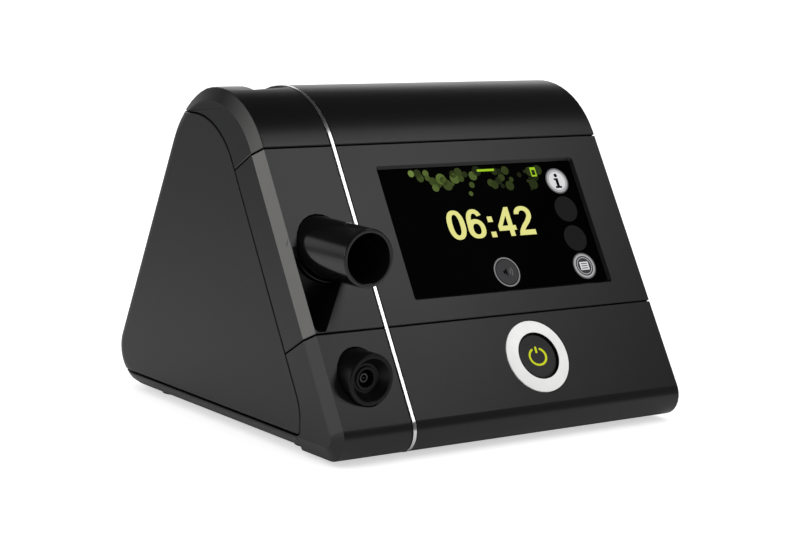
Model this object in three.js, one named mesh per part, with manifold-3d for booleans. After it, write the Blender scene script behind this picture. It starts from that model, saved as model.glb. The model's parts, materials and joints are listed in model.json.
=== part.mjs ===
import * as THREE from "three";
import { mergeVertices } from "three/addons/utils/BufferGeometryUtils.js";
import Module from "manifold-3d";

const wasm = await Module();
wasm.setup();

// A home breathing-therapy blower: a rounded prism lying on its side, in millimetres.
// +X is the viewer's right, the front faces -Y, +Z is up, and the feet stand on z = 0.

const bodyWidth = 170.4;
const bodyHeight = 135;
const bodyDepth = 174.4;
const footHeight = 2;
const frontTiltDegrees = 30.8;
const frontCornerRadius = 8.8;
const rearCornerRadius = 16.1;
const crownFrontRadius = 40.4;
const crownRearRadius = 38.8;
const wall = 2.4;
const seam = 0.6;
const fit = 0.3;
const overrun = 4;
const lowerSeamAt = 38;
const upperSeamDrop = 1.5;
const rearSeamDrop = 23;
const baseSeamHeight = 7.8;
const edgeChamferWidth = 2.5;
const edgeChamferDepth = 5.5;
const rightEdgeRadius = 0.6;
const coverEdgeRadius = 7.5;
const endStripWidth = 20;
const portColumnInset = 17.4;
const weldDistance = 0.0001;
const cornerSteps = 6;
const crownSteps = 10;
const roundSteps = 24;

const cover = {
  frontInset: 26.6, cornerRadius: 16, heelRadius: 2, topRadius: 33.5, topRise: 2.7, flangeReach: 6.7,
};
const strip = { inset: 34.7, width: 1.5, depth: 1.5, proud: 0.15 };
const scoop = {
  inset: 15, lipLead: 8, lipLeadByStrip: 4.5, stripWall: 1.2, fallDegrees: 30, floorRadius: 60, reach: 40,
};
const bulkhead = { inset: 15, thickness: 2.2, setback: 36 };
const display = {
  leftMargin: 17.1, rightMargin: 17, seamMarginShare: 0.1275, recess: 1.5, bevel: 1.1, glassThickness: 1.1,
  ledge: 2.4, cornerRadius: 1, moduleThickness: 4.6, moduleMargin: 1.4, bossRadius: 2.6, bossMargin: 6,
  frameThickness: 2, frameWindow: 12,
};
const mainBoard = {
  thickness: 1.6, standoff: 2.4, standoffRadius: 2.2, margin: 3, chip: 14, chipHeight: 1.8,
};
const pocket = {
  inset: 2.8, topWidth: 29.8, heelWidth: 5.6, topRise: 1.6, seamGap: 0.6, depth: 0.7, cornerRadius: 2.2,
  wall: 2,
};
const outlet = {
  drop: 4.1, reach: 29.6, length: 40.8, tipRadius: 11.2, rootRadius: 11.7, boreRadius: 9.4, rim: 0.3,
  collarWall: 1, collarTail: 3,
};
const chamber = {
  wall: 2, half: 11.4, reach: 21.5, depth: 53, sensorWidth: 12, sensorDepth: 20, sensorHeight: 5,
};
const socket = {
  reach: 6.4, radius: 10.1, rim: 0.7, dishRadius: 8.4, dishDepth: 4.3,
  seatRadius: 4.5, seatRise: 0.7, holeRadius: 3.4, holeDepth: 7.4, length: 20,
  barrelRadius: 1.9, barrelBore: 1.1, barrelShort: 1.2, pinRadius: 0.5,
};
const ring = { at: 19.5, outerRadius: 15.1, innerRadius: 9.7, thickness: 1.2, proud: 0.1 };
const button = {
  recess: 0.9, dish: 0.5, dishMargin: 1.6, stroke: 1.2, flangeReach: 1.2, flangeThickness: 1, stemRadius: 2.6,
  stemLength: 4.2,
};
const keyBoard = { width: 50, height: 22, thickness: 1.6, bossRadius: 2.6, bossInset: 4 };
const tact = { size: 7, height: 3.4, plungerRadius: 1.6, plungerDepth: 2.6 };

const blower = {
  sideInset: 67, rearGap: 9, low: 24, height: 22, wall: 2, tongueRadius: 20, growth: 13, spout: 32,
  coverThickness: 2, inletRadius: 11, floorHole: 6,
};
const impeller = {
  clearance: 0.8, disc: 1.4, hubRadius: 5, bladeHeight: 9, blades: 9, bladeThickness: 1.2, bladeSweep: 1.05,
  bladeCurve: 1.5, shaftRadius: 1.5, lift: 3.2,
};
const motor = { radius: 12.5, height: 12.5, bearingRadius: 4, bearingHeight: 3, poles: 9, poleDepth: 2.4 };
const mount = { count: 3, radius: 3.6, height: 6, postRadius: 3.2, clearance: 0.9, startDegrees: 200 };
const docking = { bore: 6.6, margin: 2, seat: 8.8, flange: 10.4, flangeThickness: 1.6 };
const bypass = { wall: 1.8, margin: 2.2 };
const peg = { radius: 2.4, boss: 4.4, bossLength: 4 };
const pegShares = [[0.08, 0.18], [0.86, 0.16], [0.32, 0.77]];
const pressure = { wall: 1.8 };

const filter = {
  x: 8, drop: 13.6, width: 56, height: 40, depth: 14, wall: 2, windowWidth: 44, windowHeight: 20, windowAt: 3,
  coarse: 7.6, fine: 2.4, lid: 2.4, slots: 7, slotWidth: 40, slotHeight: 2, slotPitch: 4.4, gripRadius: 7,
  cornerRadius: 3,
};
const silencer = { sideGap: 6, rightReach: 26, topDrop: 24, frontGap: 3, wall: 2, foam: 12 };
const inlet = {
  sideInset: 27, at: 14, width: 21, height: 15, depth: 19, socketWidth: 14.4, socketHeight: 8.4,
  socketDepth: 13, pinRadius: 1.2, pinGap: 8.6, pinShort: 3,
};
const supply = {
  sideInset: 35, y: -6, width: 44, depth: 74, lift: 7.6, thickness: 1.6, postRadius: 3, postInset: 5,
  coreWidth: 26, coreDepth: 22, coreHeight: 20, coreY: -18, canRadius: 7, canHeight: 22, canY: 16,
};
const card = {
  y: 2, height: 40, width: 24, length: 32, thickness: 2.1, slotMargin: 0.5, cornerCut: 3, recess: 0.6,
  readerWidth: 30, readerWall: 1.5, readerHeight: 5,
};
const releaseKey = { width: 11, length: 15, at: 23, thickness: 3, stemRadius: 1.6, stemLength: 7, radius: 2 };
const foot = { radius: 7, plug: 2.6, plugLength: 2, sideInset: 16, frontInset: 42, rearInset: 28 };
const screw = { headRadius: 3, headHeight: 1.6, shankRadius: 1.4, length: 9, boss: 3.6, bossHeight: 9 };
const screwShares = [[-0.66, -0.33], [-0.66, 0.62], [0.12, -0.49], [0.28, 0.69]];

const rad = THREE.MathUtils.degToRad;
const flat = (y, z) => new THREE.Vector2(y, z);
const leftX = -bodyWidth / 2;
const rightX = bodyWidth / 2;
const frontEnd = -bodyDepth / 2;
const rearEnd = bodyDepth / 2;
const rearSeamHeight = bodyHeight - rearSeamDrop;
const portColumnX = leftX + portColumnInset;
const stripX = leftX + strip.inset;
const bulkheadX = leftX + bulkhead.inset;
const scoopX = leftX + scoop.inset;
const inletX = rightX - inlet.sideInset;
const supplyX = rightX - supply.sideInset;
const blowerX = leftX + blower.sideInset;
const coverFrontY = frontEnd + cover.frontInset;
const displayWidth = rightX - display.rightMargin - stripX - display.leftMargin;
const panelCentreX = stripX + display.leftMargin + displayWidth / 2;
const collarRadius = outlet.rootRadius + fit + outlet.collarWall;
const innerLeftX = leftX + wall;
const innerRightX = rightX - wall;
const backY = rearEnd + overrun;
const screwPlaces = screwShares.map(([x, y]) => [x * rightX, y * bodyDepth / 2]);

// The side profile, drawn in (y, z).

const frontTilt = rad(frontTiltDegrees);
const frontNormal = flat(-Math.cos(frontTilt), Math.sin(frontTilt));
const frontUp = flat(Math.sin(frontTilt), Math.cos(frontTilt));
const frontAngle = Math.PI - frontTilt;
const frontCorner = flat(frontEnd + frontCornerRadius, footHeight + frontCornerRadius);
const rearCorner = flat(rearEnd - rearCornerRadius, footHeight + rearCornerRadius);
const crownFront = flat(0, bodyHeight - crownFrontRadius);
crownFront.x = (frontNormal.dot(frontCorner) + frontCornerRadius - crownFrontRadius
  - frontNormal.y * crownFront.y) / frontNormal.x;
const crownRear = flat(crownFront.x, bodyHeight - crownRearRadius);
const rearReach = rearCorner.clone().sub(crownRear);
const rearAngle = Math.atan2(rearReach.y, rearReach.x)
  + Math.acos((crownRearRadius - rearCornerRadius) / rearReach.length());
const rearNormal = flat(Math.cos(rearAngle), Math.sin(rearAngle));
const rearUp = flat(-rearNormal.y, rearNormal.x);
const faceStart = frontCorner.clone().addScaledVector(frontNormal, frontCornerRadius);
const rearStart = rearCorner.clone().addScaledVector(rearNormal, rearCornerRadius);

// A point at a distance up the front or rear face and a distance out of it.
const frontPoint = (up, out) => faceStart.clone().addScaledVector(frontUp, up)
  .addScaledVector(frontNormal, out);
const rearPoint = (up, out) => rearStart.clone().addScaledVector(rearUp, up)
  .addScaledVector(rearNormal, out);
// The same lines taken at a height: how far back a plane a distance out of the face stands.
const frontYAt = (height, out) => frontPoint((height - faceStart.y - out * frontNormal.y) / frontUp.y, out).x;
const frontHeightAt = (y, out) => frontPoint((y - faceStart.x - out * frontNormal.x) / frontUp.x, out).y;
const rearUpAt = (height, out) => (height - rearStart.y - out * rearNormal.y) / rearUp.y;

// Places up the faces: the seams, the display between them, and the filter bay.
const faceLength = crownFront.clone().sub(frontCorner).dot(frontUp);
const upperSeamAt = faceLength - upperSeamDrop;
const displayAt = (lowerSeamAt + upperSeamAt) / 2;
const displayHeight = (upperSeamAt - lowerSeamAt) * (1 - 2 * display.seamMarginShare);
const outletHeight = frontPoint(displayAt - outlet.drop, 0).y;
const socketHeight = frontPoint(ring.at, 0).y;
const pocketFloorY = frontYAt(outletHeight, 0) + pocket.depth;
const outletTailY = frontYAt(outletHeight, 0) - outlet.reach + outlet.length;
const socketTailY = frontYAt(socketHeight, 0) - socket.reach + socket.length;
const filterAt = rearUpAt(rearSeamHeight, 0) - filter.drop - filter.height / 2;

// The pegs stand at shares of the way across the inner plate, and of the body's height.
const pegPlaces = pegShares.map(([along, rise]) => {
  const height = rise * bodyHeight;
  const front = frontYAt(height, -bulkhead.setback);
  const back = rearPoint(rearUpAt(height, -wall), -wall).x;
  return [front + along * (back - front), height];
});

function arc(centre, radius, from, to, steps) {
  return Array.from({ length: steps + 1 }, (unused, i) => {
    const angle = from + (to - from) * i / steps;
    return flat(centre.x + radius * Math.cos(angle), centre.y + radius * Math.sin(angle));
  });
}

function hullOutline(inset) {
  const top = Math.PI / 2;
  return [
    ...arc(rearCorner, rearCornerRadius - inset, -top, 0, cornerSteps),
    ...arc(rearCorner, rearCornerRadius - inset, 0, rearAngle, cornerSteps / 2).slice(1),
    ...arc(crownRear, crownRearRadius - inset, rearAngle, top, crownSteps),
    ...arc(crownFront, crownFrontRadius - inset, top, frontAngle, crownSteps).slice(1),
    ...arc(frontCorner, frontCornerRadius - inset, frontAngle, Math.PI, cornerSteps / 2),
    ...arc(frontCorner, frontCornerRadius - inset, Math.PI, Math.PI + top, cornerSteps).slice(1),
  ];
}

// The removable side cover: its front edge runs along the face, its top edge over the crown.
function coverOutline(grow) {
  const bottom = baseSeamHeight + seam / 2;
  const cornerY = coverFrontY + cover.cornerRadius;
  const corner = flat(cornerY, frontHeightAt(cornerY, -endStripWidth - cover.cornerRadius));
  const heel = flat(coverFrontY + cover.heelRadius, bottom + cover.heelRadius);
  const top = frontPoint(faceLength + cover.topRise, -endStripWidth - cover.topRadius);
  return [
    flat(backY, bottom - grow),
    flat(backY, top.y + cover.topRadius + grow),
    ...arc(top, cover.topRadius + grow, Math.PI / 2, frontAngle, crownSteps),
    ...arc(corner, cover.cornerRadius + grow, frontAngle, Math.PI, cornerSteps / 2),
    ...arc(heel, cover.heelRadius + grow, Math.PI, 3 * Math.PI / 2, cornerSteps / 2),
  ];
}

// The two ports between the housing and the side cover, as (y, z).
const chamberFrontY = outletTailY + fit;
const chamberBackY = chamberFrontY + chamber.depth;
const chamberLow = outletHeight - chamber.half;
const chamberHigh = outletHeight + chamber.half;
const chamberX = bulkheadX + bulkhead.thickness + fit;
const bendY = frontYAt(chamberLow, -bulkhead.setback) - fit;
const bayOut = -filter.depth - filter.wall - fit;
const blowerTop = blower.low + blower.height + blower.coverThickness + fit;
const blowerY = rearPoint(rearUpAt(blowerTop, bayOut), bayOut).x - blower.rearGap - blower.tongueRadius
  - blower.growth;
const frontPort = flat(chamberBackY - chamber.wall - docking.margin - docking.bore, outletHeight);
const rearPort = flat(blowerY + blower.tongueRadius + blower.growth - blower.wall - docking.bore,
  blower.low + blower.height / 2);

// Frames: u and v span the drawing, and w is the way it is extruded.

const axis = (x, y, z) => new THREE.Vector3(x, y, z);
const frame = (u, v, w, origin) => new THREE.Matrix4().makeBasis(u, v, w).setPosition(origin);
const onFront = (x, up, out) => {
  const at = frontPoint(up, out);
  return frame(axis(1, 0, 0), axis(0, frontUp.x, frontUp.y), axis(0, frontNormal.x, frontNormal.y),
    axis(x, at.x, at.y));
};
const onRear = (x, up, out) => {
  const at = rearPoint(up, out);
  return frame(axis(-1, 0, 0), axis(0, rearUp.x, rearUp.y), axis(0, rearNormal.x, rearNormal.y),
    axis(x, at.x, at.y));
};
const toFront = (x, y, z) => frame(axis(1, 0, 0), axis(0, 0, 1), axis(0, -1, 0), axis(x, y, z));
const toRight = (x, y, z) => frame(axis(0, 1, 0), axis(0, 0, 1), axis(1, 0, 0), axis(x, y, z));
const toLeft = (x, y, z) => frame(axis(0, -1, 0), axis(0, 0, 1), axis(-1, 0, 0), axis(x, y, z));
const upward = (x, y, z) => frame(axis(1, 0, 0), axis(0, 1, 0), axis(0, 0, 1), axis(x, y, z));

// Solids.

function signedVolume(points, corners) {
  const [a, b, c] = [axis(0, 0, 0), axis(0, 0, 0), axis(0, 0, 0)];
  let sum = 0;
  for (let i = 0; i < corners.length; i += 3) {
    [a, b, c].forEach((corner, k) => corner.fromArray(points, 3 * corners[i + k]));
    sum += a.dot(b.cross(c));
  }
  return sum / 6;
}

function toSolid(geometry) {
  const bare = new THREE.BufferGeometry();
  bare.setAttribute("position", geometry.getAttribute("position").clone());
  if (geometry.index) bare.setIndex(geometry.index.clone());
  const merged = mergeVertices(bare, weldDistance);
  const points = merged.getAttribute("position").array;
  const corners = [];
  for (let i = 0; i < merged.index.count; i += 3) {
    const three = [0, 1, 2].map((k) => merged.index.getX(i + k));
    if (new Set(three).size === 3) corners.push(...three);
  }
  if (signedVolume(points, corners) < 0) corners.reverse();
  return new wasm.Manifold(new wasm.Mesh({
    numProp: 3, vertProperties: new Float32Array(points), triVerts: new Uint32Array(corners),
  }));
}

const join = (first, ...others) => others.reduce((solid, other) => solid.add(other), first);
const cut = (first, ...tools) => tools.reduce((solid, tool) => solid.subtract(tool), first);

function extrude(points, length, place, holes = []) {
  const shape = new THREE.Shape(points);
  shape.holes = holes.map((hole) => new THREE.Path(hole));
  const geometry = new THREE.ExtrudeGeometry(shape, { depth: length, bevelEnabled: false });
  return toSolid(geometry.applyMatrix4(place));
}

const across = (points, fromX, toX) => extrude(points, toX - fromX, toRight(fromX, 0, 0));
const wide = (points) => across(points, leftX - overrun, rightX + overrun);

function rectangle(width, height, radius = 0, x = 0, y = 0) {
  const quarter = Math.PI / 2;
  const corners = [[1, -1], [1, 1], [-1, 1], [-1, -1]];
  if (radius === 0) return corners.map(([i, j]) => flat(x + i * width / 2, y + j * height / 2));
  return corners.flatMap(([i, j], k) => arc(
    flat(x + i * (width / 2 - radius), y + j * (height / 2 - radius)), radius,
    (k - 1) * quarter, k * quarter, cornerSteps / 2));
}

const circle = (radius, steps = roundSteps) => arc(flat(0, 0), radius, 0, 2 * Math.PI, steps).slice(1);
const block = (width, height, depth, place, radius = 0) => extrude(
  rectangle(width, height, radius), depth, place);
const rod = (radius, length, place, steps = roundSteps) => extrude(circle(radius, steps), length, place);

// A closed profile of (radius, height) turned about the frame's w.
function turned(profile, place, steps = roundSteps) {
  const lathe = new THREE.LatheGeometry(profile.map(([r, h]) => flat(r, h)), steps);
  const stand = frame(axis(1, 0, 0), axis(0, 0, 1), axis(0, -1, 0), axis(0, 0, 0));
  return toSolid(lathe.applyMatrix4(stand).applyMatrix4(place));
}

const washer = (outer, inner, height, place, steps = roundSteps) => turned(
  [[inner, 0], [outer, 0], [outer, height], [inner, height], [inner, 0]], place, steps);

// A closed skin over outlines with equal numbers of points, given as rows of 3-D points.
function loft(rows) {
  const count = rows[0].length;
  const corners = [];
  for (let i = 0; i + 1 < rows.length; i += 1) {
    for (let k = 0; k < count; k += 1) {
      const [a, b] = [i * count + k, i * count + (k + 1) % count];
      corners.push(a, b, b + count, a, b + count, a + count);
    }
  }
  const last = (rows.length - 1) * count;
  const cap = THREE.ShapeUtils.triangulateShape(rows[0].map((p) => p.plane), []);
  for (const [a, b, c] of cap) corners.push(a, c, b, last + a, last + b, last + c);
  const geometry = new THREE.BufferGeometry().setFromPoints(rows.flat().map((p) => p.point));
  geometry.setIndex(corners);
  return toSolid(geometry);
}

const layer = (outline, place, height) => outline.map((p) => ({
  plane: p, point: axis(p.x, p.y, height).applyMatrix4(place),
}));

// The hull, before it is parted.

const roundShares = [0, 0.08, 0.3, 0.62, 1];

function roundedEnd(radius, x, inward) {
  return roundShares.map((share) => [
    radius - radius * Math.sqrt(1 - (1 - share) * (1 - share)), x + inward * radius * share,
  ]);
}

function hullSolid(leftEnd) {
  const ends = [...leftEnd, ...roundedEnd(rightEdgeRadius, rightX, -1).reverse()];
  return loft(ends.map(([inset, x]) => layer(hullOutline(inset), toRight(0, 0, 0), x)));
}

const chamferedHull = hullSolid([[edgeChamferDepth, leftX], [0, leftX + edgeChamferWidth]]);
const roundedHull = hullSolid(roundedEnd(coverEdgeRadius, leftX, 1));
const cavity = across(hullOutline(wall), innerLeftX, innerRightX);
const flangeX = leftX + cover.flangeReach;
const coverSpace = across(coverOutline(seam / 2), leftX - overrun, flangeX + seam);
const rightSpace = across(coverOutline(seam / 2), innerRightX - fit, rightX + overrun);
const panelBackY = coverFrontY + cover.heelRadius;

// The strip's band, from its depth under the hull's surface to a height over it.
function stripBand(half, under, over) {
  return cut(across(hullOutline(-over), stripX - half, stripX + half),
    across(hullOutline(under), stripX - overrun, stripX + overrun));
}

const stripChannel = stripBand(strip.width / 2 + fit, strip.depth + fit, overrun);

function accentStrip() {
  const rearEnd = rearSeamHeight + seam;
  const end = panelBackY - seam;
  const under = footHeight + strip.depth + overrun;
  const path = wide([flat(-backY, -overrun), flat(end, -overrun), flat(end, under),
    flat(crownFront.x, under), flat(crownFront.x, rearEnd), flat(backY, rearEnd),
    flat(backY, bodyHeight + overrun), flat(-backY, bodyHeight + overrun)]);
  return stripBand(strip.width / 2, strip.depth, strip.proud).intersect(path);
}

// Housing.

function crownCover() {
  const seamAt = upperSeamAt + seam / 2;
  const [front, deep] = [frontPoint(seamAt, overrun), frontPoint(seamAt, -endStripWidth)];
  const rearLine = rearSeamHeight + seam / 2;
  const region = wide([front, deep, flat(crownFront.x, deep.y), flat(crownFront.x, rearLine),
    flat(backY, rearLine), flat(backY, bodyHeight + overrun), flat(front.x, bodyHeight + overrun)]);
  const shell = cut(chamferedHull.intersect(region), cavity, coverSpace, rightSpace, stripChannel);
  const pan = scoopSolid(wall).intersect(across(hullOutline(0), innerLeftX, innerRightX)).intersect(region);
  return cut(shell.add(cut(pan, coverSpace)), scoopSolid(0), stripChannel, keyHole());
}

const scoopLipY = crownFront.x - (scoop.lipLead + scoop.lipLeadByStrip) / 2;
const scoopRightX = stripX - strip.width / 2 - scoop.stripWall;

// The grip scoop falls to the rear, and its lip slants back from the end strip to the accent strip.
function scoopSolid(grow) {
  const fall = rad(scoop.fallDegrees);
  const along = flat(Math.cos(fall), -Math.sin(fall));
  const normal = flat(Math.sin(fall), Math.cos(fall));
  const half = Math.asin(scoop.reach / 2 / scoop.floorRadius);
  const middle = -Math.PI / 2 - fall;
  const high = bodyHeight + overrun;
  const outline = (lead) => {
    const centre = flat(crownFront.x - lead, bodyHeight)
      .addScaledVector(normal, scoop.floorRadius * Math.cos(half)).addScaledVector(along, scoop.reach / 2);
    const floor = arc(centre, scoop.floorRadius + grow, middle - half, middle + half, cornerSteps);
    return [...floor, flat(floor.at(-1).x + overrun, high), flat(floor[0].x, high)];
  };
  const rightGrow = Math.min(grow, scoop.stripWall - seam);
  return loft([
    layer(outline(scoop.lipLead), toRight(0, 0, 0), scoopX - grow),
    layer(outline(scoop.lipLeadByStrip), toRight(0, 0, 0), scoopRightX + rightGrow),
  ]);
}

function displayBezel() {
  const deep = -endStripWidth - overrun;
  const [low, high] = [lowerSeamAt + seam / 2, upperSeamAt - seam / 2];
  const band = wide([frontPoint(low, overrun), frontPoint(low, deep), frontPoint(high, deep),
    frontPoint(high, overrun)]);
  const shell = cut(chamferedHull.intersect(band), cavity, coverSpace, rightSpace);
  const inside = across(hullOutline(wall / 2), leftX + edgeChamferWidth / 2, innerRightX);
  const pocketWall = pocketSpace(pocket.wall).intersect(inside).intersect(band);
  const borePlace = toFront(portColumnX, outletTailY + overrun, outletHeight);
  const coneBore = rod(outlet.rootRadius + fit, bodyDepth, borePlace);
  const collarBore = rod(collarRadius + fit, bodyDepth, borePlace).intersect(wide(hullOutline(wall)));
  return cut(join(shell, pocketWall, displaySeat(), ...displayBosses()), pocketSpace(0), displayWindow(),
    stripChannel, coneBore, collarBore);
}

// The recess under the outlet: straight beside the edge, narrowing downwards on the other side.
function pocketOutline(grow) {
  const radius = pocket.cornerRadius + grow;
  const left = leftX + pocket.inset;
  const top = outletHeight + pocket.topRise;
  const bottom = frontPoint(lowerSeamAt, 0).y + pocket.seamGap;
  const slope = flat(pocket.topWidth - pocket.heelWidth, top - bottom).normalize();
  const normal = flat(slope.y, -slope.x);
  const heel = flat(left + pocket.heelWidth - pocket.cornerRadius, bottom + pocket.cornerRadius);
  const corner = flat(left + pocket.cornerRadius, heel.y);
  const reach = (top - heel.y) / slope.y;
  return [
    ...arc(corner, radius, Math.PI, 3 * Math.PI / 2, cornerSteps),
    ...arc(heel, radius, -Math.PI / 2, Math.atan2(normal.y, normal.x), cornerSteps),
    heel.clone().addScaledVector(normal, radius).addScaledVector(slope, reach),
    flat(left - grow, top),
  ];
}

function pocketSpace(grow) {
  const depth = pocketFloorY - frontEnd;
  return extrude(pocketOutline(grow), depth + grow, toFront(0, pocketFloorY + grow, 0));
}

const displayPlace = (out) => onFront(panelCentreX, displayAt, out);
const glassBack = -display.recess - fit - display.glassThickness;

function displaySeat() {
  return block(displayWidth + 2 * display.ledge, displayHeight + 2 * display.ledge, -glassBack,
    displayPlace(glassBack));
}

// The window narrows through its bevelled lip; the glass sits behind the lip.
function displayWindow() {
  const outer = rectangle(displayWidth, displayHeight, display.cornerRadius);
  const inner = rectangle(displayWidth - 2 * display.bevel, displayHeight - 2 * display.bevel,
    display.cornerRadius / 2);
  const lip = loft([layer(inner, displayPlace(0), -display.recess - overrun), layer(inner, displayPlace(0),
    -display.recess), layer(outer, displayPlace(0), 0), layer(outer, displayPlace(0), overrun)]);
  const seat = block(displayWidth + 2 * fit, displayHeight + 2 * fit, overrun,
    displayPlace(-display.recess - overrun), display.cornerRadius);
  return join(lip, seat);
}

const bossPlaces = [[-1, -1], [1, -1], [1, 1], [-1, 1]].map(([i, j]) => [
  panelCentreX + i * (displayWidth / 2 + display.bossMargin - display.bossRadius / 2),
  displayAt + j * (displayHeight / 2 + display.bossMargin - display.bossRadius / 2),
]);
const moduleBack = glassBack - fit - display.moduleThickness;

function displayBosses() {
  const length = -moduleBack - wall / 2;
  return bossPlaces.map(([x, up]) => rod(display.bossRadius, length, onFront(x, up, moduleBack), roundSteps / 2));
}

function displayFrame() {
  const out = moduleBack - fit - display.frameThickness;
  const width = displayWidth + 2 * display.bossMargin + display.bossRadius;
  const height = displayHeight + 2 * display.bossMargin + display.bossRadius;
  const window = rectangle(width - 2 * display.frameWindow, height - 2 * display.frameWindow, display.bossRadius);
  const plate = extrude(rectangle(width, height, display.bossRadius), display.frameThickness,
    displayPlace(out), [window]);
  const legLength = mainBoard.standoff + display.frameThickness / 2;
  const legs = bossPlaces.map(([x, up]) => rod(mainBoard.standoffRadius, legLength,
    onFront(x, up, out - mainBoard.standoff), roundSteps / 2));
  return join(plate, ...legs);
}

const boardBack = moduleBack - fit - display.frameThickness - mainBoard.standoff - fit - mainBoard.thickness;

function mainBoardSolid() {
  const width = displayWidth + 2 * display.bossMargin + display.bossRadius;
  const height = displayHeight + 2 * display.bossMargin + display.bossRadius;
  const plate = block(width, height, mainBoard.thickness, displayPlace(boardBack), mainBoard.margin);
  const chips = [-1, 0, 1].map((i) => block(mainBoard.chip, mainBoard.chip,
    mainBoard.chipHeight + mainBoard.thickness,
    onFront(panelCentreX + 2 * i * mainBoard.chip, displayAt, boardBack - mainBoard.chipHeight)));
  return join(plate, ...chips);
}

function lowerFrontPanel() {
  const seamAt = lowerSeamAt - seam / 2;
  const [face, deep] = [frontPoint(seamAt, overrun), frontPoint(seamAt, -endStripWidth - overrun)];
  const low = baseSeamHeight + seam / 2;
  const region = wide([face, deep, flat(deep.x, low), flat(panelBackY, low), flat(panelBackY, -overrun),
    flat(-backY, -overrun), flat(-backY, face.y)]);
  const shell = cut(chamferedHull.intersect(region), cavity, coverSpace, rightSpace);
  const hub = rod(ring.outerRadius + wall, wall + ring.thickness,
    onFront(panelCentreX, ring.at, -wall - ring.thickness));
  const ringSeat = rod(ring.outerRadius + fit, ring.thickness + fit + overrun,
    onFront(panelCentreX, ring.at, -ring.thickness - fit));
  const buttonHole = rod(ring.innerRadius + button.flangeReach + fit, 2 * overrun,
    onFront(panelCentreX, ring.at, -2 * overrun));
  const socketHole = rod(socket.radius + fit, socket.length + overrun,
    toFront(portColumnX, socketTailY, socketHeight));
  return cut(join(shell, hub, ...keyBosses()), ringSeat, buttonHole, socketHole, stripChannel);
}

const buttonThickness = ring.thickness + fit - button.recess + button.flangeThickness;
const stemEnd = -button.recess - buttonThickness - button.stemLength;
const keyBoardFront = stemEnd - button.stroke - fit - tact.height;

function keyBosses() {
  const aside = keyBoard.width / 2 - keyBoard.bossInset;
  const above = keyBoard.height / 2 - keyBoard.bossInset;
  return [-1, 1].flatMap((i) => [-1, 1].map((j) => rod(keyBoard.bossRadius, -keyBoardFront - fit - wall / 2,
    onFront(panelCentreX + i * aside, ring.at + j * above, keyBoardFront + fit), roundSteps / 2)));
}

// The pull-off side cover: a plate with a flange round its rear edge, and pegs behind it.
function sideCover() {
  const space = across(coverOutline(-seam / 2), leftX - overrun, flangeX);
  const hollow = across(hullOutline(wall), innerLeftX, flangeX + overrun);
  const pegs = pegPlaces.map(([y, z]) => rod(peg.radius, bulkheadX + bulkhead.thickness - leftX - wall / 2,
    toRight(leftX + wall / 2, y, z), roundSteps / 2));
  return join(cut(roundedHull.intersect(space), hollow), ...pegs);
}

function rightPanel() {
  const plate = roundedHull.intersect(across(coverOutline(-seam / 2), innerRightX, rightX + overrun));
  const slot = block(card.width + 2 * card.slotMargin, card.thickness + 2 * card.slotMargin,
    wall + 2 * overrun, toRight(innerRightX - overrun, card.y, card.height));
  return cut(plate, slot);
}

function rearHousing() {
  const [low, high] = [baseSeamHeight + seam / 2, rearSeamHeight - seam / 2];
  const region = wide([
    flat(crownFront.x, low), flat(backY, low), flat(backY, high), flat(crownFront.x, high),
  ]);
  const shell = cut(roundedHull.intersect(region), cavity, coverSpace, rightSpace);
  const bay = block(filter.width + 2 * filter.wall, filter.height + 2 * filter.wall,
    filter.depth + filter.wall - wall / 2, onRear(filter.x, filterAt, -filter.depth - filter.wall),
    filter.cornerRadius);
  const tools = [
    block(filter.width, filter.height, filter.depth + overrun, onRear(filter.x, filterAt, -filter.depth),
      filter.cornerRadius),
    block(filter.windowWidth, filter.windowHeight, filter.depth,
      onRear(filter.x, filterAt + filter.windowAt, -filter.depth - filter.wall - overrun)),
    block(inlet.width + 2 * fit, inlet.height + 2 * fit, wall + 2 * overrun,
      onRear(inletX, inlet.at, -wall - overrun), filter.cornerRadius),
  ];
  return cut(join(shell, bay), ...tools);
}

// The inner plate that the side cover's pegs and the two air ports go through.
function sideBulkhead() {
  const [low, high] = [baseSeamHeight + seam / 2, rearSeamHeight - seam / 2];
  const outline = [flat(frontYAt(low, -bulkhead.setback), low), flat(backY, low), flat(backY, high),
    flat(frontYAt(high, -bulkhead.setback), high)];
  const plate = across(outline, bulkheadX, bulkheadX + bulkhead.thickness)
    .intersect(wide(hullOutline(wall + fit)));
  const bosses = pegPlaces.map(([y, z]) => rod(peg.boss, peg.bossLength, toLeft(bulkheadX + wall / 2, y, z)));
  const ports = [frontPort, rearPort].map((port) => rod(docking.seat, bulkhead.thickness + 2 * overrun,
    toRight(bulkheadX - overrun, port.x, port.y)));
  const pegHoles = pegPlaces.map(([y, z]) => rod(peg.radius + fit, 3 * overrun,
    toRight(bulkheadX - 2 * overrun, y, z), roundSteps / 2));
  return cut(join(plate, ...bosses), ...ports, ...pegHoles);
}

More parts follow.
